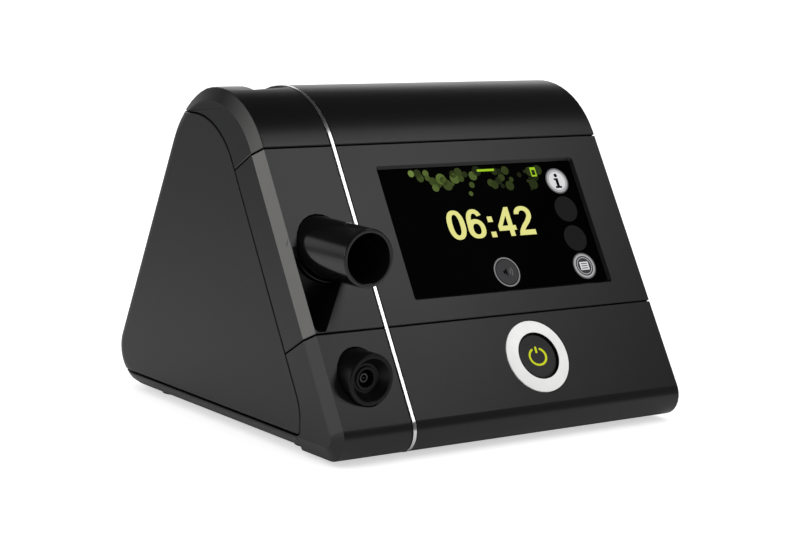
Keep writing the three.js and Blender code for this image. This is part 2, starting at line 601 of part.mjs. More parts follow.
function baseTray() {
  const high = baseSeamHeight - seam / 2;
  const front = panelBackY + seam;
  const region = wide([flat(front, -overrun), flat(backY, -overrun), flat(backY, high), flat(front, high)]);
  const tub = cut(roundedHull.intersect(region), cavity);
  const floor = footHeight + wall / 2;
  const posts = [
    ...mountPlaces.map(([x, y]) => rod(mount.postRadius, blower.low - fit - mount.height - fit - floor,
      upward(x, y, floor), roundSteps / 2)),
    ...supplyPosts.map(([x, y]) => rod(supply.postRadius, supply.lift + wall / 2 - fit,
      upward(x, y, floor), roundSteps / 2)),
    ...screwPlaces.map(([x, y]) => rod(screw.boss, screw.bossHeight, upward(x, y, floor), roundSteps / 2)),
  ];
  const holes = [
    ...screwPlaces.map(([x, y]) => rod(screw.headRadius + fit, screw.headHeight + fit + overrun,
      upward(x, y, footHeight - overrun), roundSteps / 2)),
    ...screwPlaces.map(([x, y]) => rod(screw.shankRadius + fit, screw.length + overrun,
      upward(x, y, footHeight), roundSteps / 2)),
    ...footPlaces.map(([x, y]) => rod(foot.plug + fit, foot.plugLength + fit + overrun,
      upward(x, y, footHeight - overrun), roundSteps / 2)),
  ];
  return cut(join(tub, ...posts), ...holes);
}

const footRows = [frontEnd + foot.frontInset, rearEnd - foot.rearInset];
const footPlaces = [-1, 1].flatMap((i) => footRows.map((y) => [i * (rightX - foot.sideInset), y]));

function footSolid([x, y]) {
  const top = footHeight - fit;
  return turned([[0, 0], [foot.radius, 0], [foot.radius, top], [foot.plug, top],
    [foot.plug, top + foot.plugLength], [0, top + foot.plugLength]], upward(x, y, 0), roundSteps);
}

function screwSolid([x, y]) {
  const head = footHeight + fit;
  return turned([[0, 0], [screw.headRadius, 0], [screw.headRadius, screw.headHeight - fit],
    [screw.shankRadius, screw.headHeight - fit], [screw.shankRadius, screw.length], [0, screw.length]],
  upward(x, y, head), roundSteps / 2);
}

// Outlet, heater socket and power button.

// The 22 mm hose cone, slimmer towards its tip and open right through.
function outletPort() {
  const length = outlet.length;
  return turned([[outlet.boreRadius, 0], [outlet.rootRadius, 0], [outlet.tipRadius, length - outlet.rim],
    [outlet.tipRadius - outlet.rim, length], [outlet.boreRadius + outlet.rim, length],
    [outlet.boreRadius, length - outlet.rim], [outlet.boreRadius, 0]],
  toFront(portColumnX, outletTailY, outletHeight));
}

// The collar round the cone, cut off parallel to the sloping face and under its shell.
function outletCollar() {
  const tail = pocketFloorY + pocket.wall + outlet.collarTail;
  const tube = washer(collarRadius, outlet.rootRadius + fit, bodyDepth / 2,
    toFront(portColumnX, tail, outletHeight));
  return tube.intersect(wide(hullOutline(wall + fit)));
}

function heaterSocket() {
  const seat = socket.length - socket.dishDepth;
  return turned([
    [0, 0], [socket.radius, 0], [socket.radius, socket.length - socket.rim],
    [socket.radius - socket.rim, socket.length], [socket.dishRadius, socket.length - socket.rim / 2],
    [socket.seatRadius, seat], [socket.seatRadius, seat + socket.seatRise],
    [socket.holeRadius, seat + socket.seatRise], [socket.holeRadius, seat - socket.holeDepth],
    [0, seat - socket.holeDepth],
  ], socketPlace(0));
}

const socketPlace = (forward) => toFront(portColumnX, socketTailY - forward, socketHeight);

function heaterBarrel() {
  const floor = socket.length - socket.dishDepth - socket.holeDepth + fit;
  const length = socket.holeDepth - socket.barrelShort;
  return turned([[0, 0], [socket.barrelRadius, 0], [socket.barrelRadius, length], [socket.barrelBore, length],
    [socket.barrelBore, length / 2], [0, length / 2]], socketPlace(floor), roundSteps / 2);
}

function heaterPin() {
  const floor = socket.length - socket.dishDepth - socket.holeDepth + fit;
  const length = socket.holeDepth - socket.barrelShort;
  return rod(socket.pinRadius, length / 2 - fit, socketPlace(floor + length / 2 + fit), roundSteps / 4);
}

function trimRing() {
  return washer(ring.outerRadius, ring.innerRadius, ring.thickness + ring.proud,
    onFront(panelCentreX, ring.at, -ring.thickness), 2 * roundSteps);
}

// The dished button face, its stop flange behind the ring, and the stem to the switch.
function powerButton() {
  const radius = ring.innerRadius - fit;
  const top = button.stemLength + buttonThickness;
  const flange = radius + button.flangeReach;
  const shoulder = button.stemLength + button.flangeThickness;
  return turned([
    [0, 0], [button.stemRadius, 0], [button.stemRadius, button.stemLength], [flange, button.stemLength],
    [flange, shoulder], [radius, shoulder], [radius, top], [radius - button.dishMargin, top],
    [0, top - button.dish],
  ], onFront(panelCentreX, ring.at, -button.recess - top));
}

function tactSwitch() {
  const out = keyBoardFront + fit;
  const box = block(tact.size, tact.size, tact.height - fit, onFront(panelCentreX, ring.at, out));
  return cut(box, rod(tact.plungerRadius + fit, tact.height,
    onFront(panelCentreX, ring.at, out + tact.height - tact.plungerDepth), roundSteps / 2));
}

function switchPlunger() {
  const rest = keyBoardFront + tact.height - tact.plungerDepth + fit + button.stroke;
  return rod(tact.plungerRadius, stemEnd - fit - rest, onFront(panelCentreX, ring.at, rest), roundSteps / 2);
}

function buttonBoard() {
  return block(keyBoard.width, keyBoard.height, keyBoard.thickness,
    onFront(panelCentreX, ring.at, keyBoardFront - keyBoard.thickness));
}

// Air path.

// The spiral casing in plan: its radius grows once round, then runs out as a straight spout.
function voluteOutline(inset) {
  const steps = roundSteps;
  const start = Math.PI / 2;
  const spiral = Array.from({ length: steps }, (unused, i) => {
    const turn = (i + 1) / steps;
    const radius = blower.tongueRadius + blower.growth * turn - inset;
    const angle = start + 2 * Math.PI * turn;
    return flat(blowerX + radius * Math.cos(angle), blowerY + radius * Math.sin(angle));
  });
  const out = blowerX - blower.spout - inset;
  return [...spiral, flat(out, blowerY + blower.tongueRadius + blower.growth - inset),
    flat(out, rearPort.x - docking.bore - blower.wall + inset)];
}

function blowerVolute() {
  const outer = extrude(voluteOutline(0), blower.height, upward(0, 0, blower.low));
  const inner = extrude(voluteOutline(blower.wall), blower.height, upward(0, 0, blower.low + blower.wall));
  const spoutX = blowerX - blower.spout;
  const hole = rod(docking.bore, 2 * overrun, toLeft(spoutX + overrun, rearPort.x, rearPort.y));
  const shaftHole = rod(blower.floorHole, 2 * overrun, upward(blowerX, blowerY, blower.low - overrun));
  const closed = block(blower.wall, 2 * blower.growth, blower.height,
    upward(spoutX + blower.wall / 2, rearPort.x, blower.low));
  return cut(join(cut(outer, inner), closed.intersect(outer)), hole, shaftHole);
}

function blowerCover() {
  return cut(extrude(voluteOutline(0), blower.coverThickness, upward(0, 0, blower.low + blower.height + fit)),
    rod(blower.inletRadius, 2 * overrun, upward(blowerX, blowerY, blower.low + blower.height - overrun)));
}

const impellerRadius = blower.tongueRadius - blower.wall - impeller.clearance;

// A disc, a hub and curved blades on the motor's shaft.
function impellerSolid() {
  const low = blower.low + impeller.lift;
  const disc = turned([[0, 0], [impellerRadius, 0], [impellerRadius, impeller.disc],
    [impeller.hubRadius, impeller.disc], [impeller.hubRadius / 2, impeller.bladeHeight],
    [0, impeller.bladeHeight]], upward(blowerX, blowerY, low));
  const shaft = rod(impeller.shaftRadius, low - motorLow() - fit, upward(blowerX, blowerY, motorLow() + fit),
    roundSteps / 2);
  return join(disc, shaft, ...Array.from({ length: impeller.blades }, (unused, i) => blade(
    2 * Math.PI * i / impeller.blades, low + impeller.disc / 2)));
}

const motorLow = () => blower.low - fit - motor.height;

function blade(turn, low) {
  const steps = cornerSteps;
  const inner = impeller.hubRadius - impeller.bladeThickness;
  const line = (side) => Array.from({ length: steps + 1 }, (unused, i) => {
    const radius = inner + (impellerRadius - inner) * i / steps;
    const angle = turn - impeller.bladeSweep * (i / steps) ** impeller.bladeCurve;
    const off = side * impeller.bladeThickness / 2;
    return flat(blowerX + radius * Math.cos(angle) - off * Math.sin(angle),
      blowerY + radius * Math.sin(angle) + off * Math.cos(angle));
  });
  return extrude([...line(-1), ...line(1).reverse()], impeller.bladeHeight, upward(0, 0, low));
}

function motorStator() {
  const body = washer(motor.radius, motor.bearingRadius + fit, motor.height,
    upward(blowerX, blowerY, motorLow()));
  const slots = Array.from({ length: motor.poles }, (unused, i) => {
    const angle = 2 * Math.PI * i / motor.poles;
    const [x, y] = [blowerX + motor.radius * Math.cos(angle), blowerY + motor.radius * Math.sin(angle)];
    return block(motor.poleDepth, motor.poleDepth, motor.height / 2, upward(x, y, motorLow() - overrun));
  });
  return cut(body, ...slots);
}

const bearing = (z) => washer(motor.bearingRadius, impeller.shaftRadius + fit, motor.bearingHeight,
  upward(blowerX, blowerY, z), roundSteps / 2);

const mountPlaces = Array.from({ length: mount.count }, (unused, i) => {
  const angle = rad(mount.startDegrees) + 2 * Math.PI * i / mount.count;
  const radius = motor.radius + mount.clearance + mount.radius;
  return [blowerX + radius * Math.cos(angle), blowerY + radius * Math.sin(angle)];
});

const blowerMount = ([x, y]) => rod(mount.radius, mount.height, upward(x, y, blower.low - fit - mount.height),
  roundSteps / 2);

function dockingSeal(port) {
  const face = docking.flangeThickness;
  const length = face + bulkhead.thickness + fit;
  return turned([[docking.bore, 0], [docking.seat - fit, 0], [docking.seat - fit, length - face],
    [docking.flange, length - face], [docking.flange, length], [docking.bore, length], [docking.bore, 0]],
  toLeft(bulkheadX + bulkhead.thickness, port.x, port.y));
}

const sealFace = bulkheadX - fit - docking.flangeThickness;

function pressureDuct() {
  const from = bulkheadX + bulkhead.thickness + fit;
  const to = blowerX - blower.spout - fit;
  return washer(docking.bore + pressure.wall, docking.bore, to - from, toRight(from, rearPort.x, rearPort.y));
}

// The chamber that turns the air from the side cover's duct into the outlet.
function outletChamber() {
  const [left, right] = [portColumnX - chamber.half, portColumnX + chamber.reach];
  const outline = (inset) => [
    flat(left + inset, chamberFrontY + inset), flat(right - inset, chamberFrontY + inset),
    flat(right - inset, chamberBackY - inset), flat(chamberX + inset, chamberBackY - inset),
    flat(chamberX + inset, bendY - inset), flat(left + inset, bendY - inset),
  ];
  const outer = extrude(outline(0), chamberHigh - chamberLow, upward(0, 0, chamberLow));
  const inner = extrude(outline(chamber.wall), chamberHigh - chamberLow - 2 * chamber.wall,
    upward(0, 0, chamberLow + chamber.wall));
  const frontHole = rod(outlet.boreRadius - fit, 2 * overrun, toFront(portColumnX, chamberFrontY + overrun,
    outletHeight));
  const sideHole = rod(docking.bore, 2 * overrun, toLeft(chamberX + overrun, frontPort.x, frontPort.y));
  return cut(outer, inner, frontHole, sideHole);
}

function flowSensor() {
  const x = (chamberX + portColumnX + chamber.reach) / 2;
  return block(chamber.sensorWidth, chamber.sensorDepth, chamber.sensorHeight,
    upward(x, (bendY + chamberBackY) / 2, chamberHigh + fit));
}

// The duct in the side cover that joins the two docking ports.
function bypassDuct() {
  const [from, to] = [leftX + wall + fit, sealFace - fit];
  const shape = (inset) => {
    const radius = docking.flange + bypass.margin - inset;
    const lean = rearPort.clone().sub(frontPort).angle();
    return [...arc(frontPort, radius, lean + Math.PI / 2, lean + 3 * Math.PI / 2, 2 * cornerSteps),
      ...arc(rearPort, radius, lean - Math.PI / 2, lean + Math.PI / 2, 2 * cornerSteps)];
  };
  const mouths = [frontPort, rearPort].map((port) => rod(docking.bore, 2 * overrun,
    toRight(to - overrun, port.x, port.y)));
  const hollow = across(shape(bypass.wall), from + bypass.wall, to - bypass.wall);
  return cut(across(shape(0), from, to), hollow, ...mouths);
}

const silencerOut = boardBack - mainBoard.chipHeight - silencer.frontGap;

// The box between the boards and the filter bay, and its foam: front wall to back, less an inset all round.
function silencerBox(inset, depth = 0) {
  const [low, high] = [blowerTop + fit + inset, rearSeamHeight - silencer.topDrop - inset];
  const [front, back] = [silencerOut - inset, bayOut - inset];
  const ends = [low, high].map((height) => (depth ? flat(frontYAt(height, front - depth), height)
    : rearPoint(rearUpAt(height, back), back)));
  const outline = [flat(frontYAt(low, front), low), ...ends, flat(frontYAt(high, front), high)];
  return across(outline, portColumnX + chamber.reach + silencer.sideGap + inset,
    filter.x + silencer.rightReach - inset);
}

function intakeSilencer() {
  const window = block(filter.windowWidth, filter.windowHeight, 2 * overrun,
    onRear(filter.x, filterAt + filter.windowAt, -filter.depth - filter.wall - 2 * overrun + fit));
  return cut(silencerBox(0), silencerBox(silencer.wall), window, rod(blower.inletRadius, 2 * overrun,
    upward(blowerX, blowerY, blowerTop + fit - overrun)));
}

function silencerFoam() {
  return silencerBox(silencer.wall + fit, silencer.foam);
}

// Filters, power and data.

const filterPad = (out, thickness) => block(filter.width - 2 * fit, filter.height - 2 * fit, thickness,
  onRear(filter.x, filterAt, out), filter.cornerRadius - fit);
const fineOut = -filter.depth + fit;
const coarseOut = fineOut + filter.fine + fit;

function filterLid() {
  const plate = filterPad(-filter.lid, filter.lid);
  const slots = Array.from({ length: filter.slots }, (unused, i) => block(filter.slotWidth, filter.slotHeight,
    filter.lid + 2 * overrun, onRear(filter.x, filterAt + filter.slotPitch * (i - (filter.slots - 1) / 2),
      -filter.lid - overrun)));
  const grip = rod(filter.gripRadius, filter.lid,
    onRear(filter.x, filterAt + filter.height / 2, -filter.lid / 2));
  return cut(plate, ...slots, grip);
}

function powerInlet() {
  const body = block(inlet.width, inlet.height, inlet.depth, onRear(inletX, inlet.at, -inlet.depth),
    filter.cornerRadius - fit);
  const well = block(inlet.socketWidth, inlet.socketHeight, inlet.socketDepth + overrun,
    onRear(inletX, inlet.at, -inlet.socketDepth), inlet.socketHeight / 2 - fit);
  return cut(body, well);
}

const inletPin = (side) => rod(inlet.pinRadius, inlet.socketDepth - inlet.pinShort,
  onRear(inletX + side * inlet.pinGap / 2, inlet.at, -inlet.socketDepth + fit), roundSteps / 2);

const supplyTop = footHeight + wall + supply.lift;
const supplyPosts = [-1, 1].flatMap((i) => [-1, 1].map((j) => [
  supplyX + i * (supply.width / 2 - supply.postInset),
  supply.y + j * (supply.depth / 2 - supply.postInset),
]));
const onSupply = (y) => upward(supplyX, supply.y + y, supplyTop + supply.thickness + fit);

const supplyBoard = () => block(supply.width, supply.depth, supply.thickness,
  upward(supplyX, supply.y, supplyTop));
const transformer = () => block(supply.coreWidth, supply.coreDepth, supply.coreHeight,
  onSupply(supply.coreY));
const capacitor = () => rod(supply.canRadius, supply.canHeight, onSupply(supply.canY));

const cardPlace = (x) => toRight(x, card.y, card.height);

function memoryCard() {
  const half = card.width / 2;
  const out = rightX - card.recess;
  const outline = [flat(-half, 0), flat(half, 0), flat(half, card.length - card.cornerCut),
    flat(half - card.cornerCut, card.length), flat(-half, card.length)];
  const place = frame(axis(0, 1, 0), axis(-1, 0, 0), axis(0, 0, 1),
    axis(out, card.y, card.height - card.thickness / 2));
  return extrude(outline, card.thickness, place);
}

function cardReader() {
  const front = innerRightX - fit;
  const back = rightX - card.recess - card.length - fit;
  const body = block(card.readerWidth, card.readerHeight, front - back + card.readerWall,
    cardPlace(back - card.readerWall));
  return cut(body, block(card.width + 2 * fit, card.thickness + 2 * fit, card.length, cardPlace(back)));
}

// The release key in the scoop.

const keyFall = rad(scoop.fallDegrees);
const scoopSag = scoop.floorRadius - Math.sqrt(scoop.floorRadius ** 2 - (scoop.reach / 2) ** 2);
const keyPlace = (out) => {
  const along = flat(Math.cos(keyFall), -Math.sin(keyFall));
  const normal = flat(Math.sin(keyFall), Math.cos(keyFall));
  const at = flat(scoopLipY, bodyHeight).addScaledVector(along, releaseKey.at)
    .addScaledVector(normal, out - scoopSag);
  return frame(axis(-1, 0, 0), axis(0, along.x, along.y), axis(0, normal.x, normal.y),
    axis((scoopX + stripX) / 2, at.x, at.y));
};

function keyHole() {
  return block(releaseKey.width + 2 * fit, releaseKey.length + 2 * fit, 4 * overrun, keyPlace(-2 * overrun),
    releaseKey.radius + fit);
}

function coverKey() {
  const cap = block(releaseKey.width, releaseKey.length, releaseKey.thickness + wall, keyPlace(-wall),
    releaseKey.radius);
  return join(cap, rod(releaseKey.stemRadius, releaseKey.stemLength,
    keyPlace(-wall - releaseKey.stemLength + fit), roundSteps / 2));
}

// Looks.

const look = (color, roughness, metalness = 0) => new THREE.MeshStandardMaterial({
  color, roughness, metalness, flatShading: true,
});
const housing = look(0x26272a, 0.5);
const looks = {
  housing, sideGrey: look(0x2c2d30, 0.55), gloss: look(0x0b0b0c, 0.12), dark: look(0x141415, 0.6),
  bright: look(0xe6e7e8, 0.25, 0.8), white: look(0xe9e9e6, 0.4), glass: look(0x050506, 0.08),
  rubber: look(0x1b1b1c, 0.9), board: look(0x1d4a2c, 0.6), steel: look(0xb9bbbe, 0.35, 1),
  brass: look(0xb79a5b, 0.35, 1), clear: look(0xd8dcdf, 0.5), foam: look(0x55585c, 1),
  filter: look(0xe9ecee, 1), copper: look(0x9a5a34, 0.4, 0.8), blueCard: look(0x23365e, 0.5),
  can: look(0x22304a, 0.4),
};

const group = new THREE.Group();

function add(name, solid, material) {
  const mesh = solid.getMesh();
  const geometry = new THREE.BufferGeometry();
  const points = new Float32Array(mesh.numVert * 3);
  for (let i = 0; i < mesh.numVert; i += 1) {
    points.set(mesh.vertProperties.subarray(i * mesh.numProp, i * mesh.numProp + 3), 3 * i);
  }
  geometry.setAttribute("position", new THREE.BufferAttribute(points, 3));
  geometry.setIndex(new THREE.BufferAttribute(new Uint32Array(mesh.triVerts), 1));
  geometry.computeVertexNormals();
  const piece = new THREE.Mesh(geometry, material);
  piece.name = name;
  group.add(piece);
}

add("crown_cover", crownCover(), looks.housing);
add("display_bezel", displayBezel(), looks.housing);
add("lower_front_panel", lowerFrontPanel(), looks.housing);
add("left_side_cover", sideCover(), looks.sideGrey);
add("right_side_panel", rightPanel(), looks.sideGrey);
add("rear_housing", rearHousing(), looks.housing);
add("side_bulkhead", sideBulkhead(), looks.dark);
add("base_tray", baseTray(), looks.housing);
footPlaces.forEach((place, i) => add(`foot_${i + 1}`, footSolid(place), looks.rubber));
screwPlaces.forEach((place, i) => add(`base_screw_${i + 1}`, screwSolid(place), looks.steel));
add("accent_strip", accentStrip(), looks.bright);
add("outlet_port", outletPort(), looks.gloss);
add("outlet_collar", outletCollar(), looks.dark);
add("heater_socket", heaterSocket(), looks.gloss);
add("heater_barrel", heaterBarrel(), looks.steel);
add("heater_pin", heaterPin(), looks.brass);
add("button_trim_ring", trimRing(), looks.white);
add("power_button", powerButton(), looks.dark);
add("switch_plunger", switchPlunger(), looks.white);
add("tact_switch", tactSwitch(), looks.steel);
add("button_board", buttonBoard(), looks.board);
add("display_glass", block(displayWidth, displayHeight, display.glassThickness, displayPlace(glassBack),
  display.cornerRadius - fit), looks.glass);
add("lcd_module", block(displayWidth + 2 * display.moduleMargin, displayHeight + 2 * display.moduleMargin,
  display.moduleThickness, displayPlace(moduleBack)), looks.steel);
add("display_frame", displayFrame(), looks.steel);
add("main_board", mainBoardSolid(), looks.board);
add("blower_volute", blowerVolute(), looks.clear);
add("blower_cover", blowerCover(), looks.clear);
add("impeller", impellerSolid(), looks.white);
add("motor_stator", motorStator(), looks.copper);
add("bearing_upper", bearing(blower.low - fit - motor.bearingHeight), looks.steel);
add("bearing_lower", bearing(motorLow() + fit), looks.steel);
mountPlaces.forEach((place, i) => add(`blower_mount_${i + 1}`, blowerMount(place), looks.rubber));
add("pressure_duct", pressureDuct(), looks.rubber);
add("docking_seal_front", dockingSeal(frontPort), looks.rubber);
add("docking_seal_rear", dockingSeal(rearPort), looks.rubber);
add("bypass_duct", bypassDuct(), looks.dark);
add("outlet_chamber", outletChamber(), looks.clear);
add("flow_sensor", flowSensor(), looks.dark);
add("intake_silencer", intakeSilencer(), looks.dark);
add("silencer_foam", silencerFoam(), looks.foam);
add("fine_filter", filterPad(fineOut, filter.fine), looks.filter);
add("coarse_filter", filterPad(coarseOut, filter.coarse), looks.foam);
add("filter_lid", filterLid(), looks.housing);
add("power_inlet", powerInlet(), looks.dark);
[-1, 1].forEach((side, i) => add(`inlet_pin_${i + 1}`, inletPin(side), looks.brass));
add("supply_board", supplyBoard(), looks.board);
add("transformer", transformer(), looks.copper);
add("capacitor", capacitor(), looks.can);
add("card_reader", cardReader(), looks.steel);
add("memory_card", memoryCard(), looks.blueCard);
add("cover_release_key", coverKey(), looks.dark);

export default group;
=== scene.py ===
import json
import math
import random

import bmesh
import bpy
from mathutils import Matrix, Vector

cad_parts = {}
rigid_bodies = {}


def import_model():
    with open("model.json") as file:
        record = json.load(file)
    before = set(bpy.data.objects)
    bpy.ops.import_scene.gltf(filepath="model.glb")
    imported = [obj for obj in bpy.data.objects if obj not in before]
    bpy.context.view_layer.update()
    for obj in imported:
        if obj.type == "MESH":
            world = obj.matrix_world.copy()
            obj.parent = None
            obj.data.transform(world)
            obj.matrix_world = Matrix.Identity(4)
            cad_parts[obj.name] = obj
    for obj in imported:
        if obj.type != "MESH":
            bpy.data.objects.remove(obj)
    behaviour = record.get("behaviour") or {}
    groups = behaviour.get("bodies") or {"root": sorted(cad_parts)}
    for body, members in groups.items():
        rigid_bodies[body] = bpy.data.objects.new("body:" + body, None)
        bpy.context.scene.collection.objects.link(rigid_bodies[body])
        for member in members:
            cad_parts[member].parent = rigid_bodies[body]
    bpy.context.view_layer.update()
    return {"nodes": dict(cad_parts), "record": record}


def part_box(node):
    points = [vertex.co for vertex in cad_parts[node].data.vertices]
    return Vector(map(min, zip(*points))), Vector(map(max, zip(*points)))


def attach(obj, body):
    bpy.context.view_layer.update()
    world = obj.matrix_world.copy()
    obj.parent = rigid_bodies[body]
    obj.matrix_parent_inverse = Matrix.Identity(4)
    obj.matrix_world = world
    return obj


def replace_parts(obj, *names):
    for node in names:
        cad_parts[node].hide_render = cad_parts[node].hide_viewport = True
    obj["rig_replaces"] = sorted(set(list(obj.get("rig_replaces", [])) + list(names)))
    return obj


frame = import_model()
solids = frame["nodes"]
mm = 0.001
print("frame loaded with", len(solids), "nodes")


def addObject(name, data):
    made = bpy.data.objects.new(name, data)
    bpy.context.collection.objects.link(made)
    return made


# The camera stands where the photograph's stood, with its long lens and small shift.

cameraValues = {
    "place": (-503.833, -699.747, 194.793),
    "right": (0.81484829, -0.57897292, 0.02850652),
    "up": (0.06142774, 0.13514442, 0.98891992),
    "back": (-0.57641035, -0.80406862, 0.1456872),
    "lens": 93.16, "sensorWidth": 36, "shiftAcross": 0.01249, "shiftUp": -0.02773,
}


def makeCamera(values):
    data = bpy.data.cameras.new("photoCamera")
    data.lens = values["lens"]
    data.sensor_width = values["sensorWidth"]
    data.shift_x = values["shiftAcross"]
    data.shift_y = values["shiftUp"]
    data.clip_start = 0.01
    camera = addObject("photoCamera", data)
    turn = Matrix((values["right"], values["up"], values["back"])).transposed().to_4x4()
    camera.matrix_world = Matrix.Translation(Vector(values["place"]) * mm) @ turn
    bpy.context.scene.camera = camera


makeCamera(cameraValues)


# Node trees. A wire is an output that arithmetic can be written on.

class Wire:
    def __init__(self, graph, socket):
        self.graph = graph
        self.socket = socket

    def maths(self, operation, first, second):
        return self.graph.node("ShaderNodeMath", {"operation": operation}, {0: first, 1: second})

    def __add__(self, other):
        return self.maths("ADD", self, other)

    def __sub__(self, other):
        return self.maths("SUBTRACT", self, other)

    def __rsub__(self, other):
        return self.maths("SUBTRACT", other, self)

    def __mul__(self, other):
        return self.maths("MULTIPLY", self, other)

    def __truediv__(self, other):
        return self.maths("DIVIDE", self, other)

    def __pow__(self, other):
        return self.maths("POWER", self, other)

    __radd__ = __add__
    __rmul__ = __mul__

    def atMost(self, other):
        return self.maths("MINIMUM", self, other)

    def atLeast(self, other):
        return self.maths("MAXIMUM", self, other)

    def output(self, name):
        return Wire(self.graph, self.socket.node.outputs[name])


class Graph:
    def __init__(self, tree):
        self.tree = tree

    def node(self, kind, settings=None, sockets=None, output=0):
        made = self.tree.nodes.new(kind)
        for key, value in (settings or {}).items():
            if key == "stops":
                self.setStops(made.color_ramp, value)
            else:
                setattr(made, key, value)
        for key, value in (sockets or {}).items():
            if isinstance(value, Wire):
                self.tree.links.new(value.socket, made.inputs[key])
            else:
                made.inputs[key].default_value = value
        return Wire(self, made.outputs[output]) if len(made.outputs) else None

    def setStops(self, ramp, stops):
        while len(ramp.elements) < len(stops):
            ramp.elements.new(0.5)
        for element, (place, value) in zip(ramp.elements, stops):
            element.position = place
            element.color = paint(value)

    def place(self):
        return self.node("ShaderNodeTexCoord", output="Object")

    def apart(self, vector):
        split = self.node("ShaderNodeSeparateXYZ", None, {0: vector})
        return split.output("X"), split.output("Y"), split.output("Z")

    def stretched(self, vector, scale):
        return self.node("ShaderNodeMapping", None, {"Vector": vector, "Scale": scale})

    def noise(self, vector, size, detail=2, roughness=0.5):
        return self.node("ShaderNodeTexNoise", None, {
            "Vector": vector, "Scale": 1 / size, "Detail": detail, "Roughness": roughness})

    def cells(self, vector, size, feature="F1"):
        return self.node("ShaderNodeTexVoronoi", {"feature": feature}, {"Vector": vector, "Scale": 1 / size},
                         output="Distance")

    def blendColour(self, factor, first, second):
        return self.node("ShaderNodeMix", {"data_type": "RGBA"}, {0: factor, 6: first, 7: second}, output=2)

    def ramp(self, value, stops):
        return self.node("ShaderNodeValToRGB", {"stops": stops}, {0: value})

    def bump(self, height, depth, strength):
        return self.node("ShaderNodeBump", None, {"Strength": strength, "Distance": depth, "Height": height})


def paint(value):
    if isinstance(value, (int, float)):
        return (value, value, value, 1)
    return (*value, 1)


def shade(colour, amount):
    return paint([channel * amount for channel in colour])


def startFinish(name):
    material = bpy.data.materials.new(name)
    material.use_nodes = True
    material.node_tree.nodes.clear()
    return material, Graph(material.node_tree)


# Finishes.

finishes = {}


# A finish's function gets its graph and the place on the object, and gives the shader's inputs.
def makeFinish(name, inputs, *given):
    material, graph = startFinish(name)
    shader = graph.node("ShaderNodeBsdfPrincipled", None, inputs(graph, graph.place(), *given))
    graph.node("ShaderNodeOutputMaterial", None, {"Surface": shader})
    finishes[name] = material


# What a moulded plastic has unless its own values say otherwise. Lengths are in millimetres.
plainPlastic = {"grain": 0.5, "drift": 20, "depth": 0.02, "strength": 0.5, "specular": 0.5, "coat": 0,
                "spread": 0.14, "broadWear": 0.06, "fineWear": 0.08}


def mouldedPlastic(graph, place, own):
    values = {**plainPlastic, **own}
    grain = graph.noise(place, values["grain"] * mm, 3, 0.6)
    broad = graph.noise(place, values["drift"] * mm, 2)
    darker, paler = 1 - values["spread"], 1 + values["spread"]
    colour = graph.blendColour(broad, shade(values["colour"], darker), shade(values["colour"], paler))
    # Where given, the colour fades along Y to the faint tone: a painted highlight that dies away towards the
    # back.
    if "fade" in values:
        deep = graph.apart(place)[1]
        start, end = values["fade"]
        highlightShare = ((deep - start * mm) / ((end - start) * mm)).atLeast(0.0).atMost(1.0)
        colour = graph.blendColour(highlightShare, paint(values["faint"]), colour)
    wear = (broad - 0.5) * values["broadWear"] + (grain - 0.5) * values["fineWear"]
    return {
        "Base Color": colour, "Roughness": wear + values["roughness"],
        "Normal": graph.bump(grain, values["depth"] * mm, values["strength"]),
        "Specular IOR Level": values["specular"], "Coat Weight": values["coat"], "Coat Roughness": 0.06,
    }


plasticValues = {
    "housingBlack": {"colour": (0.0036, 0.0037, 0.0040), "roughness": 0.33, "drift": 60},
    "sideGrey": {"colour": (0.0075, 0.0078, 0.0083), "roughness": 0.42, "drift": 60},
    # The two bevel finishes are painted highlights: pale colours that stand in for light on the left bevels.
    "bevelGrey": {"colour": (0.104, 0.102, 0.098), "roughness": 0.36, "drift": 40},
    "bevelDim": {"colour": (0.088, 0.088, 0.086), "roughness": 0.42, "drift": 40, "specular": 0.2,
                 "fade": (2, -24), "faint": (0.0075, 0.0078, 0.0083)},  # faint first, along Y
    # Painted shade: a slightly darker black with less sheen, for recesses, seams and the socket's hollow.
    "recessBlack": {"colour": (0.003, 0.003, 0.0033), "roughness": 0.34, "depth": 0.01, "specular": 0.25},
    "buttonGrain": {"colour": (0.018, 0.018, 0.0195), "roughness": 0.5, "grain": 0.7, "drift": 8,
                    "depth": 0.09, "strength": 0.7},
    "darkPlastic": {"colour": (0.010, 0.010, 0.011), "roughness": 0.5, "grain": 0.6, "depth": 0.03},
    "glossBlack": {"colour": (0.0035, 0.0035, 0.004), "roughness": 0.16, "grain": 1.2, "depth": 0.004,
                   "coat": 0.3},
    "whitePlastic": {"colour": (0.90, 0.90, 0.89), "roughness": 0.36, "grain": 0.6, "drift": 12,
                     "depth": 0.01},
    "ductPlastic": {"colour": (0.60, 0.63, 0.66), "roughness": 0.35, "grain": 0.9, "drift": 25},
    "softRubber": {"colour": (0.016, 0.016, 0.017), "roughness": 0.85, "grain": 0.4, "drift": 6,
                   "depth": 0.05, "specular": 0.3},
    "cardBlue": {"colour": (0.02, 0.04, 0.12), "roughness": 0.45, "grain": 0.6, "drift": 10},
    "canSleeve": {"colour": (0.02, 0.03, 0.08), "roughness": 0.25, "grain": 1.0, "drift": 10,
                  "depth": 0.01, "coat": 0.4},
}


plainMetal = {"line": 0.3, "stretch": (1, 1, 1), "depth": 0.01, "drift": 9, "broadWear": 0.08,
              "fineWear": 0.1}


def brushedMetal(graph, place, own):
    values = {**plainMetal, **own}
    lines = graph.noise(graph.stretched(place, values["stretch"]), values["line"] * mm, 3)
    broad = graph.noise(place, values["drift"] * mm, 2)
    wear = (broad - 0.5) * values["broadWear"] + (lines - 0.5) * values["fineWear"]
    return {
        "Base Color": graph.blendColour(lines, shade(values["colour"], 0.93), paint(values["colour"])),
        "Metallic": 1.0, "Roughness": wear + values["roughness"],
        "Normal": graph.bump(lines, values["depth"] * mm, 0.4),
    }


